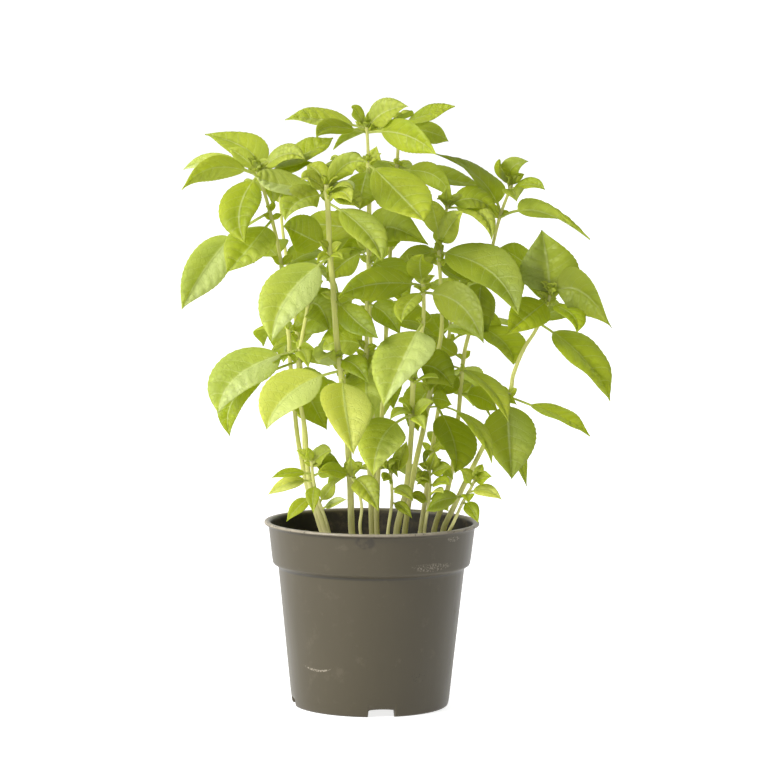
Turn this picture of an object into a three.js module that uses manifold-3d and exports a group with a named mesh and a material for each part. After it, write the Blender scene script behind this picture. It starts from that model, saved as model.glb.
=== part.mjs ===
// A potted basil plant: a thin plastic nursery pot full of growing mix, and the basil stems
// and seedlings that stand in it, each with its leaves. Millimetres, +Z up.
import * as THREE from "three";
import * as BufferGeometryUtils from "three/addons/utils/BufferGeometryUtils.js";
import Module from "manifold-3d";

const wasm = await Module();
wasm.setup();

// ---------------------------------------------------------------- driving dimensions
// Pot
const LIP_RADIUS = 64.8;
const POT_HEIGHT = 111.4;
const LIP_HEIGHT = 2.4;
const LIP_OVERHANG = 2.6;
const BAND_HEIGHT = 25;
const BAND_TAPER = 2.6;
const SHOULDER_HEIGHT = 2.6;
const SHOULDER_ROUNDING = 1.2;
const LIP_ROUNDING = 0.6;
const BODY_TOP_RADIUS = 56.1;
const BODY_FOOT_RADIUS = 47.3;
const FOOT_ROUNDING = 2;
const WALL = 1.5;
const FOOT_RING = 3.4;
const BASE_UNDERSIDE = 5;
const BASE_THICKNESS = 1.6;
const POT_SIDES = 48;
const NOTCH_WIDTH = 16.8;
const NOTCH_HEIGHT = 4.5;
const NOTCH_TAPER = 0.6; // how much each side leans in at the top
const NOTCH_ARCH = 0.5; // how much its top bows up and its corners down
const NOTCH_TURN = 8.8; // degrees to the right of the front
const NOTCHES = 4;
const DRAIN_SLOT = [12, 4];
const DRAIN_SLOT_RADIUS = 30;
const SAME_POINT = 1e-4;

// Growing mix
const SOIL_TOP = 94;
const SOIL_CROWN = 2.5;
const SOIL_CLOD = 1.3;
const SOIL_RINGS = 5;
const SOIL_STEP = [1.6, 5]; // over the pot's shoulder, between which the mix widens
const CLOD_WAVES = [[0.31, 0.17, 0], [-0.29, 0.23, 1], [0, 0.41, 2]]; // turn a mm in x and y, start
const SOIL_SIDES = 24;
const GAP = 0.3; // between neighbouring pieces
const ROOT_DEPTH = 13;
const COLLAR = 2; // over the mix, up to which a stem stands straight

// Stems and leaves
const STEM_SIDES = 4; // basil stems are square
const STEP_ALONG_STEM = 20;
const STEP_ALONG_SEEDLING = 10;
const LONG_STEM = 90; // from which a stem has several lengths
const STEM_LENGTHS = 3;
const HOLE_STEPS = 2; // steps of the lowest length that stand in the mix
const BLADE = 0.8; // thickness
const PETIOLE = 1.3; // half width where the blade begins
const ROOT_SUNK = 0.5; // how far a leaf's root goes past the middle of its stem
const EDGE_LIFT = 0.3; // above the midrib, of the half width
const LIFT_WAVE = 0.3; // of that height, up and down from row to row
const EDGE_WAVE = 0.035; // of the width, in and out from row to row
const BLADE_SKEW = 0.8; // below 1 the blade is widest nearer its base
const BLADE_FULLNESS = 0.72; // the lower, the rounder its sides
const TIP_POINT = 0.35; // how far its sides draw in towards a point
const TIP_TAPER = 0.12; // share of the width lost at the tip
// The rows across a blade, as shares of its length, for leaves up to a width.
const BLADE_ROWS = [
  { width: 10, rows: [0, 0.42] },
  { width: 17, rows: [0, 0.3, 0.66] },
  { width: Infinity, rows: [0, 0.12, 0.42, 0.74] },
];
// Round a row: the upper face from edge to edge, then the lower face back.
const LEAF_RING = [[1, -1], [1, 0], [1, 1], [-1, 1], [-1, 0], [-1, -1]];

// The line of sight from which the sighted positions of stems and leaves were taken. A sighted
// position is millimetres across and up in the upright picture through the pot's axis, from
// the middle of the pot's foot, with a depth: how far behind the axis the point lies.
const EYE = new THREE.Vector3(8.34, -2000, 366.2);
const SIGHT_DOWN = THREE.MathUtils.degToRad(4.97);
const SIGHT_ROLL = THREE.MathUtils.degToRad(0.555);
const SIGHT_MIDDLE = [10.2, 189.6];

// ---------------------------------------------------------------- the plan of the plant
// Each stem: where its foot stands on the mix, its route as sighted [across, depth, up], its
// radius at the foot and at the tip, and its leaves. A leaf: the sighted height at which it
// leaves the stem, its tip [across, depth, up], its width, how far [across, up] it arches off
// the straight line, which way it faces (degrees from upward towards the viewer, degrees to the
// right), and the share of its length that is petiole. The last word is its shade.
const STEMS = {
  "stem_left_tall": {
    "foot": [-27, -12],
    "route": [[-31, -13, 110], [-34, -13, 119], [-38, -13, 131], [-41, -13, 146], [-44, -13, 164],
              [-48, -13, 206], [-49, -15, 223], [-54, -19, 268], [-61, -22, 298], [-68, -23, 321]],
    "radius": [2.3, 1.1],
    "leaves": [
      [318, [-99, 22, 341], 23, [10, 3], [37, -4], 0.15, "mid"],
      [316, [-113, -44, 308], 15, [-4, 9], [90, 62], 0.15, "light"],
      [317, [-112, -4, 320], 13, [-3, 5], [45, -5], 0.15, "pale"],
      [319, [-85, -20, 333], 10, [0, 2], [70, 0], 0.1, "young"],
      [318, [-39, -40, 326], 15, [1, 6], [48, 10], 0.15, "light"],
      [315, [-34, -24, 324], 17, [2, 0], [32, -13], 0.15, "dark"],
      [317, [-75, -60, 276], 26, [-7, 0], [59, -12], 0.1, "mid"],
      [312, [-59, -8, 299], 11, [3, 3], [71, -15], 0.15, "dark"],
      [289, [-86, -56, 258], 30, [0, 0], [58, -19], 0.14, "light"],
      [294, [-113, -6, 236], 25, [-6, 5], [79, 22], 0.34, "pale"],
      [262, [-70, 34, 264], 28, [0, 9], [10, -20], 0.2, "dark"],
      [258, [-20, 24, 264], 26, [0, 8], [10, 10], 0.2, "dark"],
      [224, [-64, 22, 214], 27, [0, 9], [10, -25], 0.2, "mid"],
      [319, [-22, -14, 339], 24, [6, 0], [27, -9], 0.15, "mid"]
    ]
  },
  "stem_left_low": {
    "foot": [-24, -20],
    "route": [[-27, -21, 104], [-31, -21, 116], [-36, -21, 131], [-38, -21, 149], [-39, -21, 164],
              [-42, -22, 182], [-43, -23, 200], [-41, -24, 218], [-38, -25, 234], [-36, -26, 246]],
    "radius": [2.3, 1.1],
    "leaves": [
      [212, [-91, -50, 174], 36, [-10, 4], [54, -28], 0.15, "pale"],
      [205, [-84, -26, 160], 18, [-14, 4], [55, -20], 0.25, "mid"],
      [238, [-24, -30, 223], 24, [0, 7], [65, 0], 0.12, "dark"],
      [212, [-60, -34, 199], 12, [-7, -1], [25, -35], 0.15, "dark"],
      [204, [-26, -8, 164], 26, [-3, 4], [65, 10], 0.2, "dark"],
      [212, [-24, -40, 202], 11, [-4, 3], [90, -38], 0.12, "mid"],
      [210, [-37, -50, 201], 10, [0, 4], [60, 0], 0.12, "light"],
      [244, [-43, -34, 256], 8, [0, 2], [60, -10], 0.1, "young"],
      [244, [-28, -30, 253], 8, [0, 2], [60, 10], 0.1, "young"]
    ]
  },
  "stem_front": {
    "foot": [-10, -32],
    "route": [[-11, -33, 103], [-12, -34, 134], [-14, -36, 164], [-17, -39, 196], [-20, -41, 218],
              [-22, -43, 248], [-24, -44, 270], [-25, -45, 292], [-26, -45, 311]],
    "radius": [2.5, 1.8],
    "leaves": [
      [304, [-51, -68, 289], 21, [-4, 5], [72, -18], 0.12, "light"],
      [307, [-1, -60, 324], 14, [-2, 7], [78, 27], 0.12, "light"],
      [307, [-41, -52, 314], 12, [-2, 4], [45, 0], 0.1, "young"],
      [305, [-11, -62, 300], 13, [2, 4], [59, -3], 0.1, "young"],
      [300, [7, -80, 265], 21, [6, 1], [60, 11], 0.15, "light"],
      [272, [-52, -56, 286], 23, [-3, 3], [66, -19], 0.12, "dark"],
      [310, [-38, -36, 322], 13, [0, 3], [35, -10], 0.12, "light"],
      [270, [-31, -50, 277], 6, [0, 1], [60, 0], 0.1, "young"],
      [270, [-17, -50, 276], 6, [0, 1], [60, 0], 0.1, "young"],
      [268, [-16, -56, 266], 6, [0, 2], [50, 0], 0.1, "young"],
      [268, [-32, -56, 264], 6, [0, 2], [50, 0], 0.1, "young"],
      [268, [-59, -78, 217], 31, [-7, 1], [64, -7], 0.12, "pale"],
      [242, [5, -66, 219], 17, [0, 0], [64, 1], 0.15, "dark"],
      [205, [-1, -64, 192], 14, [0, 4], [60, 5], 0.12, "dark"],
      [199, [-62, -76, 164], 29, [-10, 4], [60, -15], 0.15, "pale_yellow"],
      [195, [-10, -82, 149], 31, [-1, 5], [64, 14], 0.12, "yellow"],
      [201, [-31, -56, 214], 13, [-4, 3], [51, -33], 0.1, "pale"],
      [308, [-70, -52, 317], 24, [-7, -1], [32, -1], 0.1, "pale"],
      [307, [-10, -58, 307], 12, [2, 3], [40, 20], 0.05, "pale"],
      [305, [-6, -52, 297], 14, [3, 2], [60, 20], 0.1, "light"]
    ]
  },
  "stem_top_centre": {
    "foot": [1, -12],
    "route": [[1, -12, 103], [0, -13, 134], [-2, -14, 164], [-2, -15, 200], [-2, -16, 232],
              [-1, -17, 260], [-1, -18, 290], [-1, -19, 325], [-2, -19, 347]],
    "radius": [2.2, 1],
    "leaves": [
      [345, [23, -36, 358], 17, [-2, 2], [62, 25], 0.15, "light"],
      [342, [40, -58, 329], 19, [2, 5], [90, -62], 0.18, "mid"],
      [345, [-51, -24, 350], 23, [-2, 2], [30, -5], 0.15, "light"],
      [342, [-32, -48, 339], 11, [-6, 4], [61, 14], 0.15, "mid"],
      [346, [-11, -26, 357], 8, [-2, 3], [69, 2], 0.1, "young"],
      [343, [26, -10, 353], 15, [6, 2], [8, -62], 0.12, "dark"],
      [323, [32, -68, 289], 31, [7, -4], [59, 2], 0.06, "mid"],
      [324, [-40, 16, 306], 25, [0, 8], [20, -10], 0.15, "dark"],
      [266, [-24, -6, 265], 12, [1, 8], [90, 56], 0.15, "mid"],
      [264, [22, -42, 236], 24, [0, 7], [60, 10], 0.15, "dark"],
      [212, [-32, -16, 211], 26, [2, 5], [50, -25], 0.15, "bright"],
      [283, [-41, -2, 287], 18, [-3, 2], [90, -62], 0.15, "mid"],
      [272, [-26, -8, 253], 17, [-3, 2], [73, 30], 0.15, "mid"],
      [248, [-48, -2, 224], 25, [-5, -4], [41, 41], 0.15, "dark"],
      [239, [18, -30, 221], 16, [1, 4], [61, -12], 0.15, "dark"],
      [211, [-14, -32, 192], 14, [0, -1], [49, -2], 0.15, "dark"],
      [322, [-6, -34, 296], 22, [-1, -3], [50, 2], 0.1, "dark"],
      [280, [-22, -6, 295], 18, [-2, 1], [90, -40], 0.1, "mid"],
      [205, [-1, -50, 166], 26, [0, 6], [64, -10], 0.12, "bright"],
      [212, [14, -8, 176], 22, [2, 3], [60, 10], 0.1, "mid"]
    ]
  },
  "stem_top_back": {
    "foot": [5, 10],
    "route": [[4, 9, 106], [5, 8, 140], [7, 8, 170], [9, 8, 210], [11, 8, 248], [13, 9, 284],
              [16, 10, 321], [17, 10, 336], [18, 10, 350]],
    "radius": [2.1, 1],
    "leaves": [
      [348, [51, 2, 358], 19, [1, 0], [36, 62], 0.15, "mid"],
      [345, [47, -14, 337], 13, [5, 2], [90, -62], 0.15, "dark"],
      [319, [49, -22, 302], 14, [5, 5], [89, -45], 0.15, "mid"],
      [322, [70, 14, 309], 29, [-1, -1], [23, 11], 0.2, "dark"],
      [275, [35, -8, 275], 26, [-12, 11], [69, 13], 0.15, "light"],
      [342, [-22, 44, 332], 22, [0, 6], [0, -10], 0.15, "mid"],
      [322, [8, 62, 300], 27, [0, 9], [-40, 0], 0.15, "mid"],
      [276, [-28, 50, 262], 27, [0, 8], [-20, -15], 0.15, "dark"],
      [226, [44, 22, 214], 26, [0, 8], [30, 15], 0.15, "dark"]
    ]
  },
  "stem_middle": {
    "foot": [15, -26],
    "route": [[16, -26, 103], [19, -27, 117], [22, -28, 130], [25, -31, 165], [26, -33, 193],
              [29, -35, 212], [32, -37, 230], [32, -39, 248], [30, -40, 261]],
    "radius": [2.8, 1.1],
    "leaves": [
      [228, [8, -88, 178], 37, [0, 4], [66, -16], 0.15, "pale"],
      [250, [-19, -70, 244], 20, [-4, 5], [90, 62], 0.1, "mid"],
      [247, [19, -68, 228], 15, [-3, 1], [62, -21], 0.1, "light"],
      [251, [32, -58, 269], 16, [-2, 3], [85, 4], 0.1, "mid"],
      [246, [68, -82, 216], 23, [3, 7], [85, -9], 0.12, "deep"],
      [172, [2, -66, 136], 28, [-5, 6], [62, -5], 0.25, "bright"],
      [200, [50, -34, 189], 24, [0, 6], [62, 10], 0.15, "dark"],
      [174, [17, -50, 181], 9, [0, 1], [60, 0], 0.1, "bright"],
      [172, [38, -46, 181], 9, [0, 1], [60, 5], 0.1, "bright"],
      [170, [33, -56, 164], 9, [0, 3], [55, 5], 0.1, "bright"],
      [258, [22, -44, 268], 8, [0, 1], [60, -5], 0.1, "young"],
      [173, [12, -54, 170], 9, [0, 3], [55, -10], 0.05, "bright"],
      [194, [33, -56, 205], 10, [0, 2], [60, 0], 0.05, "bright"],
      [191, [41, -58, 195], 10, [0, 2], [55, 15], 0.05, "bright"],
      [192, [19, -56, 199], 9, [0, 2], [60, -15], 0.05, "bright"]
    ]
  },
  "stem_centre_right": {
    "foot": [20, -6],
    "route": [[21, -7, 104], [26, -10, 137], [32, -13, 164], [34, -14, 175], [39, -17, 202],
              [43, -19, 224], [42.5, -20, 248], [41.5, -21, 272], [43, -22, 287], [47, -22, 299]],
    "radius": [2.4, 1],
    "leaves": [
      [275, [36, -44, 302], 14, [1, 3], [80, -4], 0.15, "light"],
      [274, [56, -48, 295], 16, [0, 1], [63, 6], 0.1, "light"],
      [270, [89, -66, 233], 31, [7, 7], [59, 14], 0.05, "dull"],
      [264, [62, -14, 252], 14, [-4, 0], [35, 6], 0.12, "dark"],
      [204, [83, -66, 169], 19, [5, 7], [41, 34], 0.3, "reddish"],
      [178, [73, -70, 144], 16, [3, 11], [58, 37], 0.42, "light"],
      [186, [51, -46, 138], 30, [5, -1], [66, 30], 0.25, "dark"],
      [202, [46, -28, 198], 8, [0, 2], [60, 5], 0.1, "young"],
      [200, [36, -30, 187], 9, [0, 2], [65, 0], 0.1, "mid"],
      [223, [66, -26, 219], 9, [0, 4], [50, 5], 0.15, "pale"],
      [297, [73, -44, 278], 14, [6, 6], [46, 21], 0.12, "light"],
      [297, [76, -26, 292], 22, [1, 8], [40, 14], 0.12, "mid"],
      [297, [46, -30, 309], 7, [0, 1], [70, 0], 0.1, "young"],
      [262, [20, 8, 250], 24, [0, 7], [50, -10], 0.15, "dark"],
      [271, [14, -10, 261], 15, [0, 2], [57, 1], 0.15, "dark"],
      [181, [29, -30, 163], 13, [-4, 2], [52, 6], 0.15, "dark"],
      [183, [49, -36, 179], 12, [1, 2], [90, -62], 0.15, "mid"],
      [190, [23, 10, 166], 22, [0, 3], [60, 0], 0.1, "mid"]
    ]
  },
  "stem_top_right": {
    "foot": [37, 4],
    "route": [[39, 3, 106], [44, 1, 120], [47, 0, 130], [50, -1, 145], [53, -2, 172],
              [56, -3, 206], [60, -3, 224], [67, -2, 250], [73, -4, 272], [78, -6, 292],
              [85, -8, 311]],
    "radius": [2.2, 1],
    "leaves": [
      [293, [38, -4, 330], 27, [8, 3], [8, -27], 0.15, "dark"],
      [291, [132, -38, 278], 23, [-3, 10], [8, 62], 0.25, "mid"],
      [308, [95, -16, 325], 13, [-5, 4], [75, 3], 0.12, "dull"],
      [308, [105, -22, 308], 10, [1, 3], [50, 13], 0.12, "mid"],
      [307, [88, -32, 301], 13, [0, 3], [55, 5], 0.12, "dull"],
      [239, [76, 6, 214], 14, [2, 1], [64, -22], 0.15, "mid"],
      [250, [74, -2, 230], 11, [-5, 2], [71, -15], 0.15, "dark"],
      [229, [86, -22, 203], 28, [5, 1], [43, 32], 0.15, "mid"],
      [262, [90, 44, 238], 25, [0, 8], [-20, 20], 0.15, "mid"],
      [206, [34, -12, 223], 17, [-2, 1], [52, -50], 0.15, "dark"],
      [197, [40, -18, 184], 14, [-1, 0], [55, 6], 0.15, "dark"],
      [185, [77, -22, 175], 14, [2, 3], [90, -61], 0.15, "dark"],
      [311, [78, -18, 326], 9, [-2, 2], [49, -25], 0.1, "mid"],
      [254, [70, -12, 218], 21, [-4, 2], [46, 19], 0.1, "dark"]
    ]
  },
  "stem_right": {
    "foot": [42, -20],
    "route": [[44, -20, 104], [51, -22, 119], [56, -24, 130], [67, -28, 152], [83, -32, 184],
              [86, -33, 197], [92, -33, 212], [99, -33, 223], [104, -33, 234], [109, -33, 247]],
    "radius": [2.3, 1],
    "leaves": [
      [244, [103, -26, 284], 36, [1, -5], [78, 8], 0.12, "grey"],
      [244, [145, -58, 225], 28, [0, 13], [90, -62], 0.12, "deep"],
      [240, [124, -66, 222], 15, [5, 2], [57, 19], 0.12, "mid"],
      [242, [82, -66, 221], 23, [1, 1], [69, 0], 0.12, "mid"],
      [238, [91, -18, 257], 14, [0, 6], [90, -62], 0.12, "dark"],
      [228, [144, -48, 181], 33, [4, 3], [46, 30], 0.15, "mid"],
      [184, [132, -44, 160], 23, [2, 1], [22, 22], 0.25, "mid"],
      [182, [85, -50, 134], 32, [0, 1], [65, 2], 0.1, "dull"],
      [226, [124, 16, 230], 24, [0, 7], [10, 20], 0.15, "mid"],
      [182, [94, -30, 130], 12, [0, 2], [60, 10], 0.1, "dark"],
      [248, [78, -8, 273], 20, [-1, 5], [90, -62], 0.15, "dark"],
      [182, [88, -40, 179], 5, [-1, 2], [90, -42], 0.15, "mid"]
    ]
  },
  "stem_back_left": {
    "foot": [-26, 22],
    "route": [[-29, 24, 108], [-36, 28, 131], [-39, 31, 150], [-41, 37, 195], [-46, 43, 240],
              [-52, 47, 280], [-54, 49, 304]],
    "radius": [2.2, 1],
    "leaves": [
      [300, [-76, 72, 312], 20, [0, 4], [-20, -20], 0.12, "light"],
      [300, [-40, 76, 308], 20, [0, 4], [-30, 20], 0.12, "mid"],
      [302, [-54, 42, 322], 12, [0, 1], [40, 0], 0.1, "young"],
      [262, [-88, 62, 262], 28, [0, 8], [-10, -30], 0.15, "mid"],
      [262, [-18, 52, 244], 27, [0, 8], [0, 30], 0.15, "dark"],
      [222, [-52, 96, 204], 30, [0, 9], [-45, -5], 0.15, "mid"],
      [216, [-64, 62, 196], 27, [0, 8], [10, -25], 0.15, "dark"],
      [172, [-52, 88, 182], 26, [0, 8], [-25, -30], 0.15, "mid"],
      [190, [-20, 60, 186], 25, [0, 7], [10, 25], 0.15, "dark"]
    ]
  },
  "stem_back_middle": {
    "foot": [2, 34],
    "route": [[2, 36, 108], [2, 43, 150], [1, 50, 195], [0, 57, 240], [0, 62, 285], [0, 65, 316]],
    "radius": [2.2, 1],
    "leaves": [
      [312, [-24, 88, 326], 20, [0, 4], [-30, -20], 0.12, "light"],
      [312, [26, 84, 322], 20, [0, 4], [-30, 20], 0.12, "mid"],
      [314, [4, 60, 334], 12, [0, 1], [40, 0], 0.1, "young"],
      [274, [4, 108, 262], 29, [0, 9], [-45, 0], 0.15, "mid"],
      [232, [-24, 92, 222], 27, [0, 9], [-35, -20], 0.15, "mid"],
      [232, [32, 88, 227], 28, [0, 9], [-30, 20], 0.15, "mid"],
      [186, [2, 104, 160], 28, [0, 9], [-45, 0], 0.15, "mid"],
      [140, [-26, 76, 126], 22, [0, 7], [-30, -20], 0.15, "mid"],
      [140, [34, 76, 128], 22, [0, 7], [-30, 20], 0.15, "mid"]
    ]
  },
  "stem_back_right": {
    "foot": [29, 25],
    "route": [[31, 27, 108], [37, 34, 150], [43, 42, 190], [48, 48, 225], [50, 50, 246]],
    "radius": [2.2, 1],
    "leaves": [
      [243, [74, 72, 252], 20, [0, 4], [-20, 20], 0.12, "light"],
      [243, [34, 78, 250], 20, [0, 4], [-30, -20], 0.12, "mid"],
      [245, [52, 42, 258], 10, [0, 1], [40, 0], 0.1, "young"],
      [214, [90, 66, 224], 28, [0, 8], [-10, 30], 0.15, "mid"],
      [214, [26, 62, 226], 24, [0, 8], [-20, -30], 0.15, "dark"],
      [196, [62, 98, 178], 29, [0, 9], [-45, 5], 0.15, "mid"],
      [192, [72, 44, 172], 26, [0, 8], [-5, 30], 0.15, "dark"],
      [150, [52, 80, 146], 25, [0, 8], [-25, 30], 0.15, "mid"]
    ]
  },
  "seedling_left": {
    "foot": [-22, -38],
    "route": [[-26, -40, 108], [-31, -42, 122], [-34, -43, 134], [-35, -43, 145]],
    "radius": [1.3, 0.9],
    "leaves": [
      [137, [-59, -50, 135], 8, [0, 2], [40, -5], 0.2, "mid"],
      [133, [-61, -44, 125], 10, [0, 3], [45, -5], 0.2, "yellow"],
      [124, [-50, -54, 109], 9, [0, 3], [55, -5], 0.3, "mid"],
      [143, [-23, -56, 151], 12, [0, 2], [55, 5], 0.15, "light"],
      [142, [-18, -38, 143], 14, [0, 1], [60, 5], 0.15, "dark"],
      [136, [-14, -50, 136], 13, [0, 3], [50, 5], 0.15, "mid"],
      [130, [-34, -60, 114], 9, [0, 3], [60, 0], 0.15, "mid"],
      [120, [-21, -44, 134], 8, [0, 0], [75, 5], 0.15, "light"],
      [116, [-14, -54, 122], 7, [0, 1], [50, 5], 0.15, "pale"],
      [142, [-22, -44, 148], 7, [-2, 5], [75, 12], 0.15, "pale"]
    ]
  },
  "seedling_front": {
    "foot": [-4, -44],
    "route": [[-6, -45, 105], [-5, -46, 118], [-8, -47, 130], [-12, -47, 137]],
    "radius": [1.3, 0.9],
    "leaves": [
      [134, [5, -64, 115], 16, [0, 5], [55, 5], 0.12, "light"],
      [130, [6, -42, 128], 11, [0, 2], [55, 5], 0.15, "dark"],
      [134, [-12, -57, 148], 7, [0, 0], [75, 0], 0.15, "young"],
      [136, [-31, -68, 139], 11, [0, 2], [57, 0], 0.15, "mid"]
    ]
  },
  "seedling_middle": {
    "foot": [9, -42],
    "route": [[11, -43, 105], [13, -44, 119], [13, -44, 131], [12, -44, 140]],
    "radius": [1.3, 0.9],
    "leaves": [
      [138, [18, -48, 146], 9, [0, 1], [65, 5], 0.15, "mid"],
      [132, [8, -52, 133], 9, [0, 2], [55, -5], 0.15, "mid"],
      [128, [26, -56, 121], 10, [0, 3], [50, 5], 0.15, "light"],
      [120, [25, -50, 111], 7, [0, 2], [55, 5], 0.15, "mid"],
      [137, [22, -44, 157], 11, [1, -1], [36, -13], 0.15, "light"],
      [136, [17, -52, 135], 5, [-2, 6], [67, -11], 0.15, "dark"]
    ]
  },
  "seedling_right": {
    "foot": [31, -38],
    "route": [[33, -40, 106], [35, -41, 119], [36, -42, 131], [35, -42, 140]],
    "radius": [1.3, 0.9],
    "leaves": [
      [138, [39, -48, 151], 8, [0, 0], [75, 5], 0.15, "mid"],
      [136, [49, -48, 141], 10, [0, 2], [55, 5], 0.15, "mid"],
      [133, [28, -52, 134], 10, [0, 2], [55, -5], 0.15, "light"],
      [130, [48, -56, 131], 10, [0, 2], [50, 5], 0.15, "mid"],
      [122, [47, -46, 115], 12, [0, 3], [60, 5], 0.15, "dark"],
      [120, [24, -50, 123], 8, [0, 2], [55, -5], 0.15, "mid"],
      [124, [44, -58, 126], 8, [0, 2], [50, 5], 0.15, "yellow"],
      [140, [38, -36, 151], 6, [-4, 2], [21, 62], 0.15, "dark"],
      [139, [28, -50, 131], 7, [1, 1], [77, 30], 0.15, "mid"],
      [140, [50, -38, 134], 8, [1, 4], [90, -32], 0.15, "mid"]
    ]
  },
  "seedling_far_right": {
    "foot": [40, -29],
    "route": [[50, -37, 108], [55, -39, 119], [60, -41, 128], [63, -41, 134]],
    "radius": [1.3, 0.9],
    "leaves": [
      [132, [73, -48, 136], 8, [0, 1], [60, 5], 0.15, "mid"],
      [126, [79, -46, 122], 9, [0, 3], [50, 5], 0.15, "yellow"],
      [124, [59, -56, 120], 8, [0, 2], [55, 0], 0.15, "mid"],
      [120, [65, -50, 108], 9, [0, 3], [60, 5], 0.2, "mid"],
      [130, [54, -54, 140], 7, [0, 1], [65, -5], 0.15, "light"],
      [124, [34, -66, 115], 12, [-4, 1], [90, 61], 0.15, "dark"]
    ]
  }
};

// ---------------------------------------------------------------- sighting
const sightAlong = new THREE.Vector3(0, Math.cos(SIGHT_DOWN), -Math.sin(SIGHT_DOWN));
const sightUp = new THREE.Vector3(0, Math.sin(SIGHT_DOWN), Math.cos(SIGHT_DOWN));
const sightRight = new THREE.Vector3(1, 0, 0).applyAxisAngle(sightAlong, -SIGHT_ROLL);
sightUp.applyAxisAngle(sightAlong, -SIGHT_ROLL);
const SIGHT_DISTANCE = -EYE.y / Math.cos(SIGHT_DOWN);

// The real place of a sighted position: along its line of sight, at its depth.
function seen([across, depth, up]) {
  const ray = sightAlong.clone().multiplyScalar(SIGHT_DISTANCE);
  ray.addScaledVector(sightRight, across - SIGHT_MIDDLE[0]);
  ray.addScaledVector(sightUp, up - SIGHT_MIDDLE[1]);
  return EYE.clone().addScaledVector(ray, (depth - EYE.y) / ray.y);
}

// ---------------------------------------------------------------- solids
function solidOf(geometry) {
  geometry.deleteAttribute("normal");
  geometry.deleteAttribute("uv");
  const merged = BufferGeometryUtils.mergeVertices(geometry, SAME_POINT);
  const vertProperties = new Float32Array(merged.attributes.position.array);
  const triVerts = new Uint32Array(merged.index.array);
  const solid = new wasm.Manifold(new wasm.Mesh({ numProp: 3, vertProperties, triVerts }));
  if (solid.volume() > 0) return solid;
  for (let i = 0; i < triVerts.length; i += 3) {
    [triVerts[i], triVerts[i + 1]] = [triVerts[i + 1], triVerts[i]];
  }
  return new wasm.Manifold(new wasm.Mesh({ numProp: 3, vertProperties, triVerts }));
}

function join(solids) {
  return solids.reduce((whole, piece) => whole.add(piece));
}

function geometryOf(solid) {
  const mesh = solid.getMesh();
  const geometry = new THREE.BufferGeometry();
  geometry.setAttribute("position", new THREE.BufferAttribute(new Float32Array(mesh.vertProperties), 3));
  geometry.setIndex([...mesh.triVerts]);
  geometry.computeVertexNormals();
  return geometry;
}

function lathe(profile, sides) {
  const points = profile.map(([radius, height]) => new THREE.Vector2(radius, height));
  const geometry = new THREE.LatheGeometry(points, sides);
  geometry.rotateX(Math.PI / 2);
  return geometry;
}

function tubeAlong(points, radius) {
  const section = new THREE.Shape();
  for (let side = 0; side < STEM_SIDES; side += 1) {
    const turn = (2 * Math.PI * side) / STEM_SIDES;
    const corner = [radius * Math.cos(turn), radius * Math.sin(turn)];
    if (side === 0) section.moveTo(...corner);
    else section.lineTo(...corner);
  }
  const path = new THREE.CatmullRomCurve3(points);
  const steps = points.length - 1;
  return solidOf(new THREE.ExtrudeGeometry(section, { steps, extrudePath: path, curveSegments: 1 }));
}

// ---------------------------------------------------------------- pot
function potSolid() {
  const bandTop = POT_HEIGHT - LIP_HEIGHT;
  const bandRadius = LIP_RADIUS - LIP_OVERHANG;
  const bandFoot = POT_HEIGHT - BAND_HEIGHT;
  const shoulder = bandFoot - SHOULDER_HEIGHT;
  const baseTop = BASE_UNDERSIDE + BASE_THICKNESS;
  const body = BODY_TOP_RADIUS - BODY_FOOT_RADIUS;
  const bodyRadius = (height) => BODY_FOOT_RADIUS + (body * height) / shoulder;
  const bandFootRadius = bandRadius - BAND_TAPER;
  const ringInner = BODY_FOOT_RADIUS - FOOT_RING;
  const profile = [
    [0, BASE_UNDERSIDE],
    [ringInner, BASE_UNDERSIDE],
    [ringInner, 0],
    [BODY_FOOT_RADIUS - FOOT_ROUNDING, 0],
    [BODY_FOOT_RADIUS - FOOT_ROUNDING / 3, FOOT_ROUNDING / 3],
    [bodyRadius(FOOT_ROUNDING), FOOT_ROUNDING],
    [BODY_TOP_RADIUS, shoulder],
    [bandFootRadius - SHOULDER_ROUNDING, bandFoot - SHOULDER_ROUNDING / 2],
    [bandFootRadius, bandFoot + SHOULDER_ROUNDING / 2],
    [bandRadius, bandTop],
    [LIP_RADIUS - LIP_ROUNDING, bandTop + LIP_ROUNDING / 2],
    [LIP_RADIUS, bandTop + 1.5 * LIP_ROUNDING],
    [LIP_RADIUS - LIP_ROUNDING, POT_HEIGHT - LIP_ROUNDING / 2],
    [LIP_RADIUS - 2 * LIP_ROUNDING, POT_HEIGHT],
    [bandRadius - LIP_ROUNDING, POT_HEIGHT - LIP_ROUNDING / 2],
    [bandRadius - WALL, bandTop - LIP_ROUNDING],
    [bandFootRadius - WALL, bandFoot + SHOULDER_ROUNDING],
    [BODY_TOP_RADIUS - WALL, shoulder + SHOULDER_ROUNDING / 2],
    [bodyRadius(baseTop) - WALL, baseTop],
    [0, baseTop],
  ];
  let pot = solidOf(lathe(profile, POT_SIDES));
  for (let notch = 0; notch < NOTCHES; notch += 1) {
    const turn = THREE.MathUtils.degToRad(NOTCH_TURN) + (notch * 2 * Math.PI) / NOTCHES;
    pot = pot.subtract(notchCutter(turn)).subtract(drainCutter(turn + Math.PI / NOTCHES));
  }
  return pot;
}

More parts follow.
